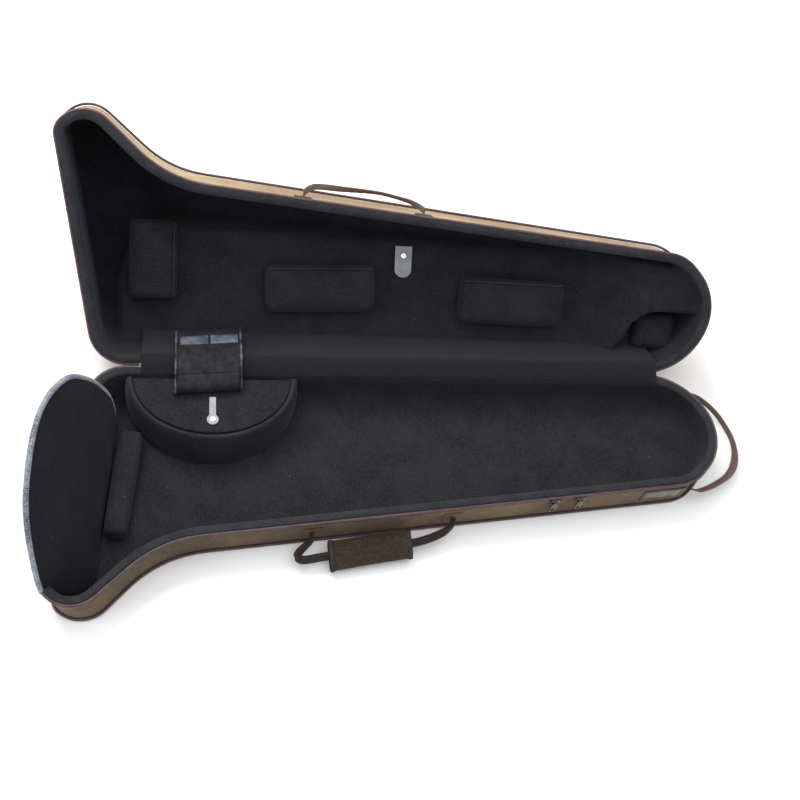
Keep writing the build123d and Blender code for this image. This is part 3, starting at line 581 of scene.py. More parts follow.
def lid_depth(xy):
    """Lid height of the lining's face under the rim, at case points: shell, bed and end block."""
    xy = np.asarray(xy, float)
    x, y = xy[:, 0], xy[:, 1]
    top = LID_HIGH - LID_SLOPE * x - 11
    facet = (HINGE_Z - y * sin(OPEN) - 11.3) / -cos(OPEN) - RIM_GAP / 2
    shell = np.minimum(top, facet) - 3 * np.exp(-np.abs(top - facet) / 9)
    bed = bed_h(x, y)
    near = smooth01((x - 330) / 120) * smooth01((900 - x) / 60)
    d = distance(xy, CREASE, closed=False)
    groove = np.exp(-(d / 7.0) ** 2) * smooth01((x - 340) / 160)
    above_crease = smooth01((-y - np.interp(x, [330, 518, 748, 846], [141, 128, 118, 127])) / 10)
    bed = bed + 5.0 * groove - 3.0 * above_crease * near * np.exp(-(d - 17) ** 2 / 320)
    dent = smooth01((x - 236) / 14) * smooth01((290 - x) / 14)
    dent *= smooth01((y + 142) / 10) * smooth01((-76 - y) / 10)
    bed = bed + 2.0 * dent
    for px, py, amp, w in DENTS:
        bed = bed + amp * np.exp(-((x - px) ** 2 + (y - py) ** 2) / (w * w))
    at_tab = smooth01(1.6 - np.hypot((x - 494) / 34, (y + 146) / 38) / 1.2)
    bed = bed + (np.maximum(bed, bed_h(x, y) + TAB_LIFT) - bed) * at_tab
    block = bed_h(775, y)
    block = np.minimum(bed, block + (BLOCK_LOW - block) * smooth01((x - 772) / 82))
    on_block = smooth01((signed(xy, BLOCK_EDGE) + 3.5) / 7)
    bed = bed + (block - bed) * on_block
    on_bed = smooth01((signed(xy, BED_EDGE) + 8) / 16)
    return shell + (bed - shell) * on_bed


FULL = 200              # lid height of the upper of the two outlines that a ring lies between


def lid_ring(inset, heights):
    """Ring of the lid's outline at an inset, each point at its own height."""
    low = outline(inset)
    high = outline(inset, LID_LEAN * FULL, LID_DRAFT * FULL)
    return [(*a.lerp(b, h / FULL), h) for a, b, h in zip(low, high, heights)]


ROUND = 13.0            # rounding between the lid's wall and its floor
count = len(outline(0))
rings = [lid_ring(inset, [-up] * count) for inset, up in RIM_ROLL]
depth = [60.0] * count
for _ in range(2):
    depth = lid_depth([p[:2] for p in lid_ring(15, list(depth))])
kernel = np.array([0.1, 0.2, 0.4, 0.2, 0.1])
depth = np.convolve(np.concatenate([depth[-2:], depth, depth[:2]]), kernel, "valid")
for t in (0.1, 0.25, 0.42, 0.6, 0.8, 1.0):
    rings.append(lid_ring(14.1 + 0.9 * t, [4 + (max(d - ROUND, 5.0) - 4) * t for d in depth]))
last = rings[-1]
rim = [p[:2] for p in last]
xy, faces = fill(rim, 5.2)
cove = ROUND * (1 - np.sqrt(1 - np.clip(1 - distance(xy, rim) / ROUND, 0, 1) ** 2))
h = np.maximum(lid_depth(xy) - cove, 5.0)
edge = {(round(p[0], 3), round(p[1], 3)): p[2] for p in last}
inner = [lid_at(x, y, edge.get((round(x, 3), round(y, 3)), z)) for (x, y), z in zip(xy, h)]
world_rings = [[lid_at(*p) for p in ring] for ring in rings]
lid_lining = join_parts("lid_lining_plush", [strips(world_rings), (inner, faces)], PLUSH, LID_UP * -1)


def lid_height(p):
    return (p - lid_at(0, 0, 0)).dot(LID_UP) * 1000


ruffle(lid_lining, 0.0006, 20, 5.0, lambda p: min(1.0, max(0.0, (lid_height(p) - 6) / 20)))
worn_highlit_rim(lid_lining, lambda c: lid_height(c) < 1.4)
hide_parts("lid_lining", "slide_bed", "slide_end_block")
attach(lid_lining, "lid")


# ---- Padded blocks ---------------------------------------------------------------------------
def rounded_corners(length, width, corner, arc):
    """The four arcs of a rounded rectangle, in millimetres, with arc steps each."""
    points = []
    for sx, sy, first in ((1, 1, 0), (-1, 1, 90), (-1, -1, 180), (1, -1, 270)):
        cx, cy = sx * (length / 2 - corner), sy * (width / 2 - corner)
        for k in range(arc + 1):
            a = radians(first + 90 * k / arc)
            points.append((cx + corner * cos(a), cy + corner * sin(a)))
    return points


def rounded_rect(length, width, corner, arc=6, step=6.0):
    """Closed outline of a rounded rectangle, evenly stepped, in millimetres."""
    points = rounded_corners(length, width, corner, arc)
    result = []
    for i, p in enumerate(points):
        q = points[(i + 1) % len(points)]
        gap = ((q[0] - p[0]) ** 2 + (q[1] - p[1]) ** 2) ** 0.5
        n = max(1, int(gap / step))
        result += [(p[0] + (q[0] - p[0]) * k / n, p[1] + (q[1] - p[1]) * k / n) for k in range(n)]
    return result


def moved_in(points, inset):
    """A closed outline moved inwards along its normals (given anticlockwise)."""
    n = len(points)
    result = []
    for i, (x, y) in enumerate(points):
        ax, ay = points[i - 1]
        bx, by = points[(i + 1) % n]
        dx, dy = bx - ax, by - ay
        d = (dx * dx + dy * dy) ** 0.5 or 1
        result.append((x - dy / d * inset, y + dx / d * inset))
    return result


def block(name, place, shape, height, edge, crown, bulge, material, cell=8.0, taper=0.0):
    """Padded block: place maps (x, y, z) mm to the frame, z up from its seat; sides bulge, top is crowned."""
    profile = [(edge * 0.5, 0.0), (0.6, edge * 0.25), (-bulge * 0.6, height * 0.3), (-bulge, height * 0.55),
               (-bulge * 0.4 + taper * 0.8, height - edge)]
    for a in (30, 60, 90):
        q = radians(a)
        profile.append((taper + edge * (1 - cos(q)), height - edge + edge * sin(q)))
    rings = [[(*p, z) for p in moved_in(shape, inset)] for inset, z in profile]
    rim = [p[:2] for p in rings[-1]]
    xy, faces = fill(rim, cell)
    d = distance(xy, rim)
    extra = crown * (1 - np.exp(-d / 14.0))
    top = [place(x, y, height + e) for (x, y), e in zip(xy, extra)]
    low, low_faces = fill([p[:2] for p in rings[0]], cell * 2)
    sides = strips([[place(*p) for p in ring] for ring in rings])
    seat = ([place(x, y, 0.0) for x, y in low], low_faces)
    return join_parts(name, [sides, (top, faces), seat], material)


VOXEL = 0.0045
SWELL_FRAMES = 14


def puff(o, pressure, cap):
    """Soft swelling of a padded piece by cloth simulation, each point moved at most cap."""
    remesh = o.modifiers.new("remesh", "REMESH")
    remesh.mode = "VOXEL"
    remesh.voxel_size = VOXEL
    bake(o)
    rest = [v.co.copy() for v in o.data.vertices]
    cloth = o.modifiers.new("cloth", "CLOTH")
    s = cloth.settings
    s.use_pressure = True
    s.uniform_pressure_force = pressure
    s.effector_weights.gravity = 0
    s.tension_stiffness = s.compression_stiffness = 25
    s.quality = 5
    s.mass = 0.3
    for f in range(1, SWELL_FRAMES + 1):
        scene.frame_set(f)
    bake(o)
    for v, r in zip(o.data.vertices, rest):
        move = v.co - r
        if move.length > cap:
            v.co = r + move * (cap / move.length)
    scene.frame_set(1)
    sub = o.modifiers.new("sub", "SUBSURF")
    sub.levels = sub.render_levels = 1
    bake(o)
    o.data.polygons.foreach_set("use_smooth", [True] * len(o.data.polygons))


def bake(o):
    """Replaces the mesh by what its modifiers make of it."""
    bpy.context.view_layer.update()
    deps = bpy.context.evaluated_depsgraph_get()
    mesh = bpy.data.meshes.new_from_object(o.evaluated_get(deps))
    o.modifiers.clear()
    o.data = mesh


def tube_faces(count, sides):
    """Quads between count rings of a tube, and its two end faces."""
    faces = []
    for i in range(count - 1):
        for k in range(sides):
            a, b = i * sides + k, i * sides + (k + 1) % sides
            faces.append((a, b, b + sides, a + sides))
    return faces + [tuple(range(sides))[::-1], tuple((count - 1) * sides + k for k in range(sides))]


def tube(name, points, radius, material, sides, wobble=0.0, seed=0.0):
    """Mesh tube along points, in metres, with parallel-transported rings and UVs along its length."""
    n = len(points)
    verts, uvs, length = [], [], 0.0
    normal = None
    for i, p in enumerate(points):
        t = (points[min(i + 1, n - 1)] - points[max(i - 1, 0)]).normalized()
        if normal is None:
            normal = t.orthogonal().normalized()
        normal = (normal - t * normal.dot(t)).normalized()
        side = t.cross(normal)
        if i:
            length += (p - points[i - 1]).length
        r = radius * (1 + wobble * noise.noise(p * 300 + Vector((seed, 0, 0))))
        for k in range(sides):
            q = 2 * pi * k / sides
            verts.append(p + normal * (r * cos(q)) + side * (r * sin(q)))
            uvs.append((k / sides, length))
    return new_object(name, verts, tube_faces(n, sides), material, uvs)


def spline(points, count):
    """Smooth Catmull-Rom line through points, evenly divided between them."""
    n = len(points)
    result = []
    for i in range(n - 1):
        p1, p2 = points[i], points[i + 1]
        p0 = points[i - 1] if i else p1 * 2 - p2
        p3 = points[i + 2] if i < n - 2 else p2 * 2 - p1
        for k in range(count):
            t = k / count
            result.append(0.5 * ((2 * p1) + (p2 - p0) * t + (2 * p0 - 5 * p1 + 4 * p2 - p3) * t * t
                                 + (3 * p1 - p0 - 3 * p2 + p3) * t ** 3))
    return result + [points[-1].copy()]


def local(origin, ex, ey, ez):
    """Map from a piece's own x, y, z in millimetres to the frame."""
    return lambda x, y, z=0.0: origin + (ex * x + ey * y + ez * z) / 1000


def on_bed(cx, cy, turn):
    """Map from a pad's own (x, y, z) to the frame: seated on the bed, z towards the rim."""
    o = lid_at(cx, cy, bed_h(cx, cy) - LAP)
    ex = (lid_at(cx + 1, cy, bed_h(cx + 1, cy) - LAP) - o).normalized()
    ey = (lid_at(cx, cy + 1, bed_h(cx, cy + 1) - LAP) - o).normalized()
    ez = ey.cross(ex).normalized()
    a = radians(turn)
    return local(o, ex * cos(a) + ey * sin(a), ey * cos(a) - ex * sin(a), ez)


# Pads on the bed: centre x and y, length, width, height and turn in degrees.
PADS = [("bell_end_pad", 128, -133, 66, 112, 25, 0.0), ("slide_pad_left", 370, -99, 158, 66, 25, -2.0),
        ("slide_pad_right", 659, -88, 160, 65, 25, 1.0), ("slide_end_pad", 885, -52, 60, 54, 22, 4.0)]
for i, (name, cx, cy, length, width, height, angle) in enumerate(PADS):
    place = on_bed(cx, cy, angle)
    shape = [(x, -y) for x, y in rounded_rect(length, width, 8)][::-1]
    pad = block(name + "_soft", place, shape, height, 6.0, 2.2, 1.4, PLUSH, 8.0, taper=1.6)
    puff(pad, 2.5, 0.0016)
    ruffle(pad, 0.0005, 45, i * 3.1)
    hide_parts(name)
    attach(pad, "lid")
    if name != "slide_end_pad":
        line = []
        for k in range(41):
            t = k / 40
            lift = 0.5 * sin(k * 0.5 + i) + 0.3 * sin(k * 1.3)
            if name == "bell_end_pad":
                x, y = length / 2 - 3 + lift * 0.4, (width - 6) * (t - 0.5)
            else:
                x, y = (length - 8) * (t - 0.5), 3 - width / 2 + lift * 0.6
            line.append(place(x, y, height + 0.4))
        welt = tube(name + "_welt", line, 0.0013, PLUSH_WORN_HIGHLIGHT, 6, wobble=0.25, seed=i)
        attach(welt, "lid")


# ---- Strips and straps ------------------------------------------------------------------------
def strap(name, centre, wides, width, thick, material, edge=0.4):
    """Flat webbing along centre points; wides gives its width direction at each of them."""
    section = rounded_corners(width, thick, thick * edge, 2)
    verts, uvs, length = [], [], 0.0
    for i, p in enumerate(centre):
        a, b = centre[max(i - 1, 0)], centre[min(i + 1, len(centre) - 1)]
        t = (b - a).normalized()
        w = (wides[i] - t * wides[i].dot(t)).normalized()
        u = t.cross(w)
        if i:
            length += (p - centre[i - 1]).length
        for sx, sy in section:
            verts.append(p + (w * sx + u * sy) / 1000)
            uvs.append((sx / width + 0.5, length))
    return new_object(name, verts, tube_faces(len(centre), len(section)), material, uvs)


def grid_faces(columns, rows):
    """Quads between columns of equally many points."""
    return [(i * rows + k, (i + 1) * rows + k, (i + 1) * rows + k + 1, i * rows + k + 1)
            for i in range(columns - 1) for k in range(rows - 1)]


def grid_sheet(name, rows, material, spans):
    """Cloth sheet through rows of points, smooth across the rows, with UVs in metres."""
    columns = [spline(list(c), spans) for c in zip(*rows)]
    m, n = len(columns), len(columns[0])
    verts = [p for c in columns for p in c]
    uvs, across = [], 0.0
    for i, c in enumerate(columns):
        if i:
            across += (c[n // 2] - columns[i - 1][n // 2]).length
        down = 0.0
        for k, p in enumerate(c):
            if k:
                down += (p - c[k - 1]).length
            uvs.append((across * 12, down))
    return new_object(name, verts, grid_faces(m, n), material, uvs)


def stitches(name, points, normal, pitch, radius, material):
    """Row of small raised stitches along a line."""
    verts, faces = [], []
    run = [0.0]
    for a, b in zip(points, points[1:]):
        run.append(run[-1] + (b - a).length)
    for k in range(int(run[-1] / pitch)):
        s = (k + 0.5) * pitch
        i = max(1, next(j for j, r in enumerate(run) if r >= s))
        a, b = points[i - 1], points[i]
        t = (b - a).normalized()
        c = a + t * (s - run[i - 1])
        side = t.cross(normal).normalized()
        base = len(verts)
        for q, r in ((-0.5, 0.45), (-0.3, 1.0), (0.3, 1.0), (0.5, 0.45)):
            for j in range(5):
                w = 2 * pi * j / 5
                verts.append(c + t * (q * pitch * 0.6) + normal * (radius * r * (0.35 + 0.65 * cos(w)))
                             + side * (radius * r * sin(w)))
        for ring in range(3):
            for j in range(5):
                u, v = base + ring * 5 + j, base + ring * 5 + (j + 1) % 5
                faces.append((u, v, v + 5, u + 5))
    return new_object(name, verts, faces, material)


def hinge_side(inset):
    """Case y of the inset outline along the hinge, as a function of x."""
    side = sorted((p.x, p.y) for p in outline(inset) if p.y > -60)
    return lambda x: float(np.interp(x, [p[0] for p in side], [p[1] for p in side]))


inner_y = hinge_side(14.3)
GUSSET_FROM, GUSSET_TO = 115, 873
GUSSET_HIGH = 82
# Across the inner hinge strip: base or lid, distance from the inner wall, height.
GUSSET = [("b", -1.0, 50), ("b", -0.4, 57), ("b", 0.4, 61.5), ("b", 3.5, 64.6), ("b", 9.5, 68.2),
          ("b", 16.5, 72.0), ("l", 0.8, -2.2), ("l", -2.6, 4), ("l", -5.5, 26), ("l", -9.5, 52),
          ("l", -13.5, 74), ("l", -16.0, GUSSET_HIGH)]


def gusset_point(x, kind, dy, h):
    y = inner_y(x) + dy
    if kind == "l" and h > 20:
        h *= (90.5 - 0.034 * x) / GUSSET_HIGH
    wave = 0.6 * noise.noise(Vector((x / 60, h / 40, 2.0)))
    if kind == "b":
        return at(x, y, h) + Vector((0, -0.45, 0.89)) * (wave / 1000 if h > 62 else 0)
    return lid_at(x, y, h) - LID_Y * (wave / 1000)


rows = [[gusset_point(float(x), *g) for x in np.linspace(GUSSET_FROM, GUSSET_TO, 64)] for g in GUSSET]
gusset = grid_sheet("gusset_cloth", rows, CLOTH, 4)
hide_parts("gusset_base", "gusset_lid")
seam_line = [at(float(x), inner_y(float(x)) + 0.1, 59.5) for x in np.linspace(110, 876, 90)]
seam = stitches("gusset_stitches", seam_line, Vector((0, -0.8, 0.6)), 0.0042, 0.0005, FRAY)
for o in (gusset, seam):
    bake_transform(o)

TAPE_FROM, TAPE_TO = 118, 842
TAPE_ROWS = [(at, -1.2, 35.5), (at, -1.2, 48), (at, -1.0, 58), (at, 0.2, 62.6),
             (lid_at, -0.2, 0.2), (lid_at, -1.2, 6), (lid_at, -1.2, 16), (lid_at, -1.2, 27.5)]
rows = [[place(float(x), dy, h) for x in np.linspace(TAPE_FROM, TAPE_TO, 40)] for place, dy, h in TAPE_ROWS]
hinge_tape = grid_sheet("hinge_tape_cloth", rows, BINDING, 3)
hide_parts("hinge_tape_base", "hinge_tape_lid")
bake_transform(hinge_tape)

# ---- Bell rest --------------------------------------------------------------------------------
P_TURN = 0.117          # turn of the panel's foot and its pad from straight across the case
P_TOP = [(84, -73, 12), (77, -51, 55), (63, -55, 102), (47, -70, 147), (32, -91, 184), (17, -122, 207),
         (5, -158, 217), (-3, -199, 209), (-8, -245, 182), (-8, -273, 156), (-5, -297, 121),
         (0, -318, 82), (5, -330, 60)]
P_FOOT = [(84, -68), (83, -80), (82, -96), (80, -114), (79, -134), (77, -156), (75, -180), (73, -206),
          (71, -234), (69, -258), (68, -280), (66, -300), (62, -316)]
P_FOOT_Z = 10
p_top = spline([Vector(p) for p in P_TOP], 5)
p_foot = spline([Vector((*p, P_FOOT_Z)) for p in P_FOOT], 5)


def on_panel(i, v, depth=0.0):
    """Point of the panel: i along it from the hinge side, v up from its foot, depth behind its face."""
    j, k = max(i - 1, 0), min(i + 1, len(p_top) - 1)
    along = p_top[k].lerp(p_foot[k], 1 - v) - p_top[j].lerp(p_foot[j], 1 - v)
    up = p_top[i] - p_foot[i]
    n = along.cross(up).normalized()
    if n.x < 0:
        n = -n
    s = i / (len(p_top) - 1)
    crown = 5.5 * sin(pi * v ** 0.8) * sin(pi * s) ** 0.5
    p = p_foot[i].lerp(p_top[i], v) + n * (crown - depth)
    return at(p.x, p.y, p.z)


p_rings = []
for i in range(1, len(p_top)):
    face = [(k / 20, 0.0) for k in range(20)]
    edge = [(0.985, 0.6), (1.0, 2.4), (0.985, 5.0)]
    back = [(k / 10, 6.4) for k in range(9, -1, -1)]
    p_rings.append([on_panel(i, v, depth) for v, depth in face + edge + back])
panel = join_parts("bell_panel_soft", capped(p_rings), PANEL)
ruffle(panel, 0.0006, 22, 9.0)
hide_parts("bell_panel")
roll_line = [on_panel(i, 1.0, 2.6) for i in range(2, len(p_top))]
# The rolled edge is pale as a painted highlight on worn plush.
roll = tube("bell_panel_roll", roll_line, 0.0036, ROLL_WORN_HIGHLIGHT, 10, wobble=0.10)
for o in (panel, roll):
    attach(o, "base")
    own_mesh(o)

p_along = Vector((P_TURN, 1, 0)).normalized()
pad_x = Vector((1, -P_TURN, 0)).normalized()
pad_centre = at(96.0, -163, FLOOR_TOP + LAP)
on_floor = local(pad_centre, pad_x, p_along, Vector((0, 0, 1)))
bell_pad = block("bell_pad_soft", on_floor, rounded_rect(29, 152, 6), 27.2, 5.5, 2.0, 1.2, PLUSH, 6.0)
puff(bell_pad, 2.5, 0.0012)
ruffle(bell_pad, 0.0005, 40, 4.0)
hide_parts("bell_pad")
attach(bell_pad, "base")

# ---- Accessory box ----------------------------------------------------------------------------
BOX_X = 214.0           # middle of the box along the hinge
BOX_BACK = -16.4        # case y of its straight side
BOX_FOOT, BOX_HIGH = 9.5, 51.5


def moon(rx, ry, back, arc=56, run=34):
    """Half ellipse, anticlockwise: round the front from left to right, then back along its straight side."""
    points = [(BOX_X - rx * cos(pi * k / arc), back - ry * sin(pi * k / arc)) for k in range(arc + 1)]
    (x0, y0), (x1, y1) = points[-1], points[0]
    return points + [(x0 + (x1 - x0) * k / run, y0 + (y1 - y0) * k / run) for k in range(1, run)]


def moon_ring(z, inset):
    """The box's outline at a height: it narrows by 3 mm in length and 15 mm in width towards its top."""
    t = (z - BOX_FOOT) / BOX_HIGH
    return [at(x, y, z) for x, y in moon(122 - 3 * t - inset, 112 - 15 * t - inset, BOX_BACK - 0.12 * inset)]


# Height and inset, up the outside, over the rim, down the inside.
BOX_SECTION = [(9.6, 1.6), (12, 0.4), (22, -0.8), (35, -1.2), (47, -0.8), (54, 0.2), (57.8, 1.4),
               (60.2, 3.4), (61.0, 5.6), (60.6, 7.4), (59.0, 8.3), (55.9, 8.6), (55.6, 15.0),
               (53.5, 16.2), (40, 15), (16, 10), (13.6, 12)]
rings = [moon_ring(z, inset) for z, inset in BOX_SECTION]
xy, faces = fill([(p.x * 1000, p.y * 1000) for p in rings[-1]], 12)
floor_verts = [Vector((x, y, rings[-1][0].z * 1000)) / 1000 for x, y in xy]
box = join_parts("accessory_box_soft", [strips(rings), (floor_verts, faces)], PLUSH)
ruffle(box, 0.0004, 30, 12.0, lambda p: 0.0 if 0.0545 < p.z < 0.0575 else 1.0)
worn_highlit_rim(box, lambda c: c.z > 0.0592)
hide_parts("accessory_box")
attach(box, "base")

lid_seat = local(at(0, 0, 56.2), Vector((1, 0, 0)), Vector((0, 1, 0)), Vector((0, 0, 1)))
lid_pad = block("accessory_lid_soft", lid_seat, moon(109.4, 84.6, -18.6), 4.3, 1.8, 0.5, 0.0, PLUSH, 8.0)
ruffle(lid_pad, 0.00025, 26, 13.0)
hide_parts("accessory_lid")
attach(lid_pad, "accessory_lid")

# ---- Mouthpiece pouch, over the hinge -----------------------------------------------------------
POUCH_X, POUCH_HALF, POUCH_SKEW = 208.0, 47.0, 0.08
TOP = [(-42.0, 63.6), (-43.4, 68.0), (-41.6, 74.6), (-35.5, 78.8), (-22, 80.6), (-6, 81.8), (9, 81.0),
       (22, 76.2), (36, 69.5), (48, 63.4), (58, 58.0), (65.5, 53.2), (68.6, 49.2)]
UNDER = [(-41.0, 62.0), (-38, 61.6), (-34, 61.5), (-26, 61.5), (-16.6, 66.0), (-6, 74.0), (7.5, 77.0),
         (17, 71.6), (32, 62.5), (44, 55.0), (54, 48.8), (62, 44.6), (67, 45.4)]
top_line = spline([Vector((0, *p)) for p in TOP], 4)
under_line = spline([Vector((0, *p)) for p in UNDER], 4)
POUCH_STEPS = len(top_line)
SPLIT = next(i for i, p in enumerate(top_line) if p.y > -25.0)
# Round the pouch: share of its half width, share of the way from the under line to the top line.
POUCH_TOP = [(.03, 1.0), (.2, 1.02), (.45, 1.03), (.7, 1.02), (.88, 1.0), (.95, .93), (.985, .78), (1, .5)]
POUCH_UNDER = [(.985, .22), (.95, .07), (.88, 0.0), (.45, 0.0)]
POUCH_SECTION = ([(-u, v) for u, v in POUCH_TOP[::-1]] + [(0, .93)] + POUCH_TOP + POUCH_UNDER + [(0, 0.0)]
                 + [(-u, v) for u, v in POUCH_UNDER[::-1]])


def pouch_piece(name, first, last):
    """Cushion between the top and under lines, for a stretch of them; its waist is a little narrower."""
    rings = []
    for i in range(first, last + 1):
        a, b = top_line[i], under_line[i]
        s = i / (POUCH_STEPS - 1)
        waist = POUCH_HALF - 1.5 * sin(pi * s) + 0.8 * noise.noise(Vector((s * 5, 1, 0)))
        ring = []
        for u, v in POUCH_SECTION:
            p = b.lerp(a, v)
            ring.append(at(POUCH_X + u * waist, p.y + POUCH_SKEW * u * waist, p.z))
        rings.append(ring)
    o = join_parts(name, capped(rings), POUCH)
    ruffle(o, 0.0008, 60, 3.0)
    return o


def on_pouch(x, i, lift):
    """Point over the top line's i-th step, raised along its normal."""
    a, b = top_line[max(i - 1, 0)], top_line[min(i + 1, POUCH_STEPS - 1)]
    t = (b - a).normalized()
    p = top_line[i] + Vector((0, -t.z, t.y)) * lift
    return at(x, p.y + POUCH_SKEW * (x - POUCH_X), p.z)


front = pouch_piece("pouch_front_soft", 0, SPLIT)
back = pouch_piece("pouch_back_soft", SPLIT, POUCH_STEPS - 1)
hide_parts("pouch_front")
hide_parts("pouch_back")
parts = [(front, "front"), (back, "back")]
for side, hand in ((-1, "left"), (1, "right")):
    for label, first, last in (("front", 1, SPLIT), ("back", SPLIT, POUCH_STEPS - 2)):
        line = []
        for i in range(first, last + 1):
            out = POUCH_HALF - 1.6 + 0.6 * noise.noise(Vector((i, side, 0)))
            line.append(on_pouch(POUCH_X + side * out, i, 0.2 + 0.4 * noise.noise(Vector((i * 1.7, side, 5)))))
        binding = tube(f"pouch_binding_{label}_{hand}", line, 0.0017, FRAY, 6, wobble=0.5, seed=side)
        parts.append((binding, label))
HOOK_COLUMNS = 15
for hand, x0, x1 in (("left", 168.5, 207.2), ("right", 210.8, 249.5)):
    first = next(i for i, p in enumerate(top_line) if p.y > 30)
    last = next(i for i, p in enumerate(top_line) if p.y > 51)
    verts = []
    for k in range(HOOK_COLUMNS):
        x = x0 + (x1 - x0) * k / (HOOK_COLUMNS - 1)
        for i in range(first, last + 1):
            at_edge = k in (0, HOOK_COLUMNS - 1) or i in (first, last)
            verts.append(on_pouch(x, i, 0.2 if at_edge else 1.3))
    faces = grid_faces(HOOK_COLUMNS, last + 1 - first)
    parts.append((new_object(f"pouch_hook_strip_{hand}", verts, faces, HOOK), "back"))
for o, label in parts:
    if label == "front":
        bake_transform(o)
    else:
        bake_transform(o)

# ---- Carry handle ------------------------------------------------------------------------------
LEAN = atan2(FRONT_RISE, 1)
f_along = Vector((cos(LEAN), sin(LEAN), 0))
f_out = Vector((sin(LEAN), -cos(LEAN), 0))
HANDLE_X, HANDLE_Z = 447, 29
HANDLE_OUT = 9          # the handle's origin stands this far off the wall
HANDLE_TILT = radians(21)
h_y = f_out * cos(HANDLE_TILT) - Vector((0, 0, 1)) * sin(HANDLE_TILT)
h_z = f_along.cross(h_y)
h_o = at(HANDLE_X, front_y(HANDLE_X), HANDLE_Z) + f_out * (HANDLE_OUT / 1000)
on_handle = local(h_o, f_along, h_y, h_z)


def on_grip(x, y, z=0.0):
    """The sleeve hangs a little lower at its left end."""
    return on_handle(x, y - 0.05 * (x - GRIP_MID), z)


def flattened(a, power):
    """Cosine of a section's angle, squared off by a power below one."""
    c = cos(a)
    return abs(c) ** power * (1 if c > 0 else -1)


def grip_section(a, half_y, half_z):
    """Point of the sleeve's rounded oblong section at an angle."""
    s = sin(a)
    return half_y * flattened(a, 0.55), half_z * abs(s) ** 0.75 * (1 if s > 0 else -1)


GRIP_MID, GRIP_OUT = -22.0, 22.0
GRIP_HALF = [(0, .97), (14, .97), (28, .98), (40, .99), (48, 1.0), (53, 1.0), (55.4, .97), (56, .90)]
STEPS = [(-x, k) for x, k in GRIP_HALF[:0:-1]] + GRIP_HALF
rings = []
fine = []
for (s0, k0), (s1, k1) in zip(STEPS, STEPS[1:]):
    n = max(1, int(abs(s1 - s0) / 3))
    fine += [(s0 + (s1 - s0) * i / n, k0 + (k1 - k0) * i / n) for i in range(n)]
fine.append(STEPS[-1])
for s, k in fine:
    ring = []
    for j in range(36):
        a = 2 * pi * j / 36
        y, z = grip_section(a, 20.6 * k, 6.6 * k)
        seam = 0.9 if sin(a) > 0 and abs(y + 9.0) < 0.8 else 0
        z += 0.7 * noise.noise(Vector((s / 16, y / 12, 1.0))) - seam
        ring.append(on_grip(GRIP_MID + s, GRIP_OUT + y, z))
    rings.append(ring)
grip = join_parts("handle_grip_soft", capped(rings), GRIP)
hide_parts("handle_grip")
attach(grip, "handle")
for hand, s in (("left", -54.6), ("right", 54.6)):
    rings = []
    for d, e in ((-2.9, -0.6), (-2.6, 0.5), (-1.2, 0.9), (1.2, 0.9), (2.6, 0.5), (2.9, -0.6)):
        section = [grip_section(2 * pi * j / 40, 20.9 + e, 7.0 + e) for j in range(40)]
        rings.append([on_grip(GRIP_MID + s + d, GRIP_OUT + y, z) for y, z in section])
    band = join_parts(f"handle_binding_{hand}", [strips(rings)], BINDING)
    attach(band, "handle")

LEFT_WEB = [(-99, -8, 3), (-101, 0, 2), (-111, 8, 0), (-120, 15, -1), (-122, 21, 0), (-116, 25.5, 0),
            (-103, 25.5, 0), (-90, 24.5, 0), (-78, 24, 0)]
RIGHT_WEB = [(100, -8, 3), (97, 1, 2), (86, 8, 1), (72, 13, 0), (58, 16.5, 0), (46, 18.5, 0), (34, 19.5, 0)]
line = spline([on_handle(*p) for p in LEFT_WEB], 6)
wides = [h_z * (0.9 - 0.5 * min(1, i / 20)) + h_y * 0.75 * min(1, i / 26) + f_along * 0.3 * sin(i / 9)
         for i in range(len(line))]
web_left = strap("handle_web_left", line, wides, 12.5, 7.0, WEB_DARK, 0.48)
line = spline([on_handle(*p) for p in RIGHT_WEB], 7)
wides = [h_z * (0.35 + 0.6 * max(0, 1 - i / 16)) + h_y * 0.9 * min(1, i / 24) for i in range(len(line))]
web_right = strap("handle_web_right", line, wides, 12.5, 6.4, WEB_DARK, 0.48)
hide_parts("handle_webbing")
for o in (web_left, web_right):
    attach(o, "handle")

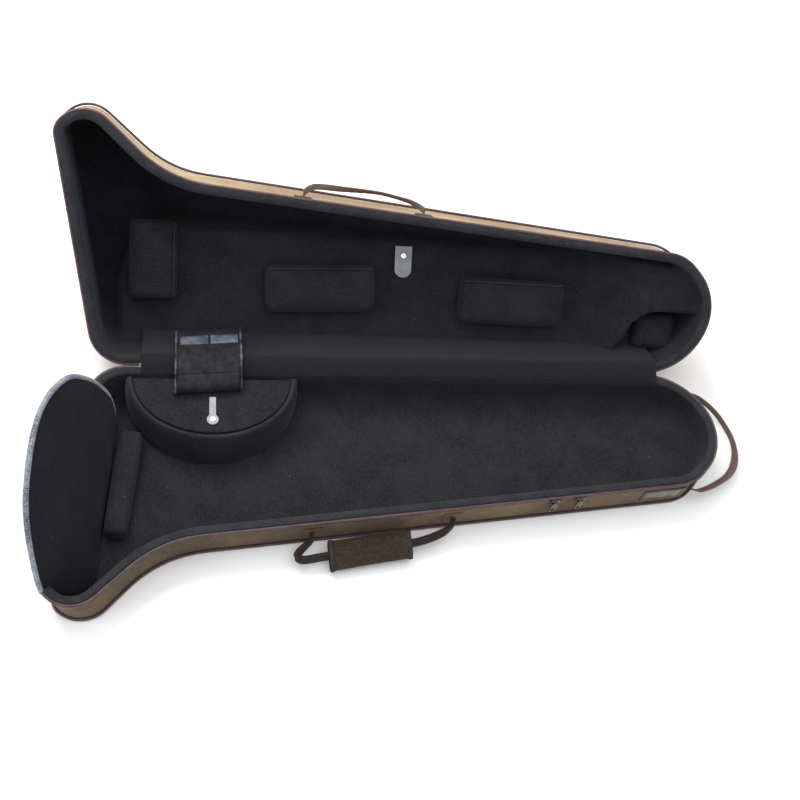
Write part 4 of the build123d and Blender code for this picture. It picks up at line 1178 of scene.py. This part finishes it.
# ---- Strap on the lid's front wall ---------------------------------------------------------------
STRAP_X, STRAP_H = 424, 44
wall_here, wall_next = (lid_at(x, front_y(x), STRAP_H) for x in (STRAP_X, STRAP_X + 1))
step = (wall_next - wall_here).normalized()
w_out = step.cross(LID_UP).normalized()
w_up = w_out.cross(step)
s_o = wall_here + w_out * 0.003
rise = (w_up * 52 + w_out * 10).normalized()
s_n = step.cross(rise)
on_strap = local(s_o, step, rise, s_n)
LID_STRAP = [(-88, -0.5, 0), (-87, 5, 0), (-81, 20, 0), (-70, 34, 1), (-52, 43, 0), (-28, 49, -1), (0, 51, 0),
             (28, 50, 1), (52, 45, 0), (70, 35, 0), (81, 20, 0), (87, 5, 0), (88, -0.5, 0)]
line = spline([on_strap(*p) for p in LID_STRAP], 6)
turns = [i / len(line) for i in range(len(line))]
wides = [s_n * (1.0 - 0.35 * sin(pi * t)) + rise * 0.75 * sin(2 * pi * t + 0.7) for t in turns]
lid_strap = strap("lid_strap_web", line, wides, 9.0, 2.6, WEB)
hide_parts("lid_strap")
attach(lid_strap, "lid_strap")

# ---- End strap ------------------------------------------------------------------------------------
e_o = (at(911, -6, 30) + at(911, -180, 30)) / 2
e_x = Vector((0, -1, 0))
e_y = Vector((cos(radians(13)), 0, -sin(radians(13))))
e_z = e_x.cross(e_y)
on_end = local(e_o, e_x, e_y, e_z)
END_STRAP = [(-70, -3, 0), (-76, 8, 0), (-81, 26, 0), (-76, 48, 0), (-58, 70, 0), (-36, 84, 0), (-10, 92, 1),
             (14, 92, 0), (36, 84, -1), (54, 68, 0), (68, 46, 0), (78, 26, 0), (84, 8, 0), (82, -3, 0)]
line = spline([on_end(*p) for p in END_STRAP], 6)
wides = []
for i, p in enumerate(line):
    s = i / (len(line) - 1)
    twist = radians(55) * (1 / (1 + exp(-(s - 0.56) * 26))) - radians(20)
    wides.append(e_z * cos(twist) + (p - e_o).normalized() * sin(twist))
end_strap = strap("end_strap_web", line, wides, 14.0, 2.6, WEB)
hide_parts("end_strap")
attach(end_strap, "end_strap")

# ---- Zip teeth ------------------------------------------------------------------------------------
ZIP_INSET = 1.4
ZIP_FROM, ZIP_TO = 112, 848     # ends of the fabric hinge


def zip_line():
    """Case points round the outline, from one end of the fabric hinge to the other."""
    points = outline(ZIP_INSET)
    first, last = (min(range(len(points)), key=lambda i: (points[i] - Vector((x, -ZIP_INSET))).length)
                   for x in (ZIP_FROM, ZIP_TO))
    return [points[i % len(points)] for i in range(first, last if last > first else last + len(points))]


base_zip = tube("zip_coil_base", [at(p.x, p.y, 57.3) for p in zip_line()], 0.0009, TAPE, 6)
lid_zip = tube("zip_coil_lid", [lid_at(p.x, p.y, 4.7) for p in zip_line()], 0.0009, TAPE, 6)
for o, body in ((base_zip, "base"), (lid_zip, "lid")):
    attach(o, body)
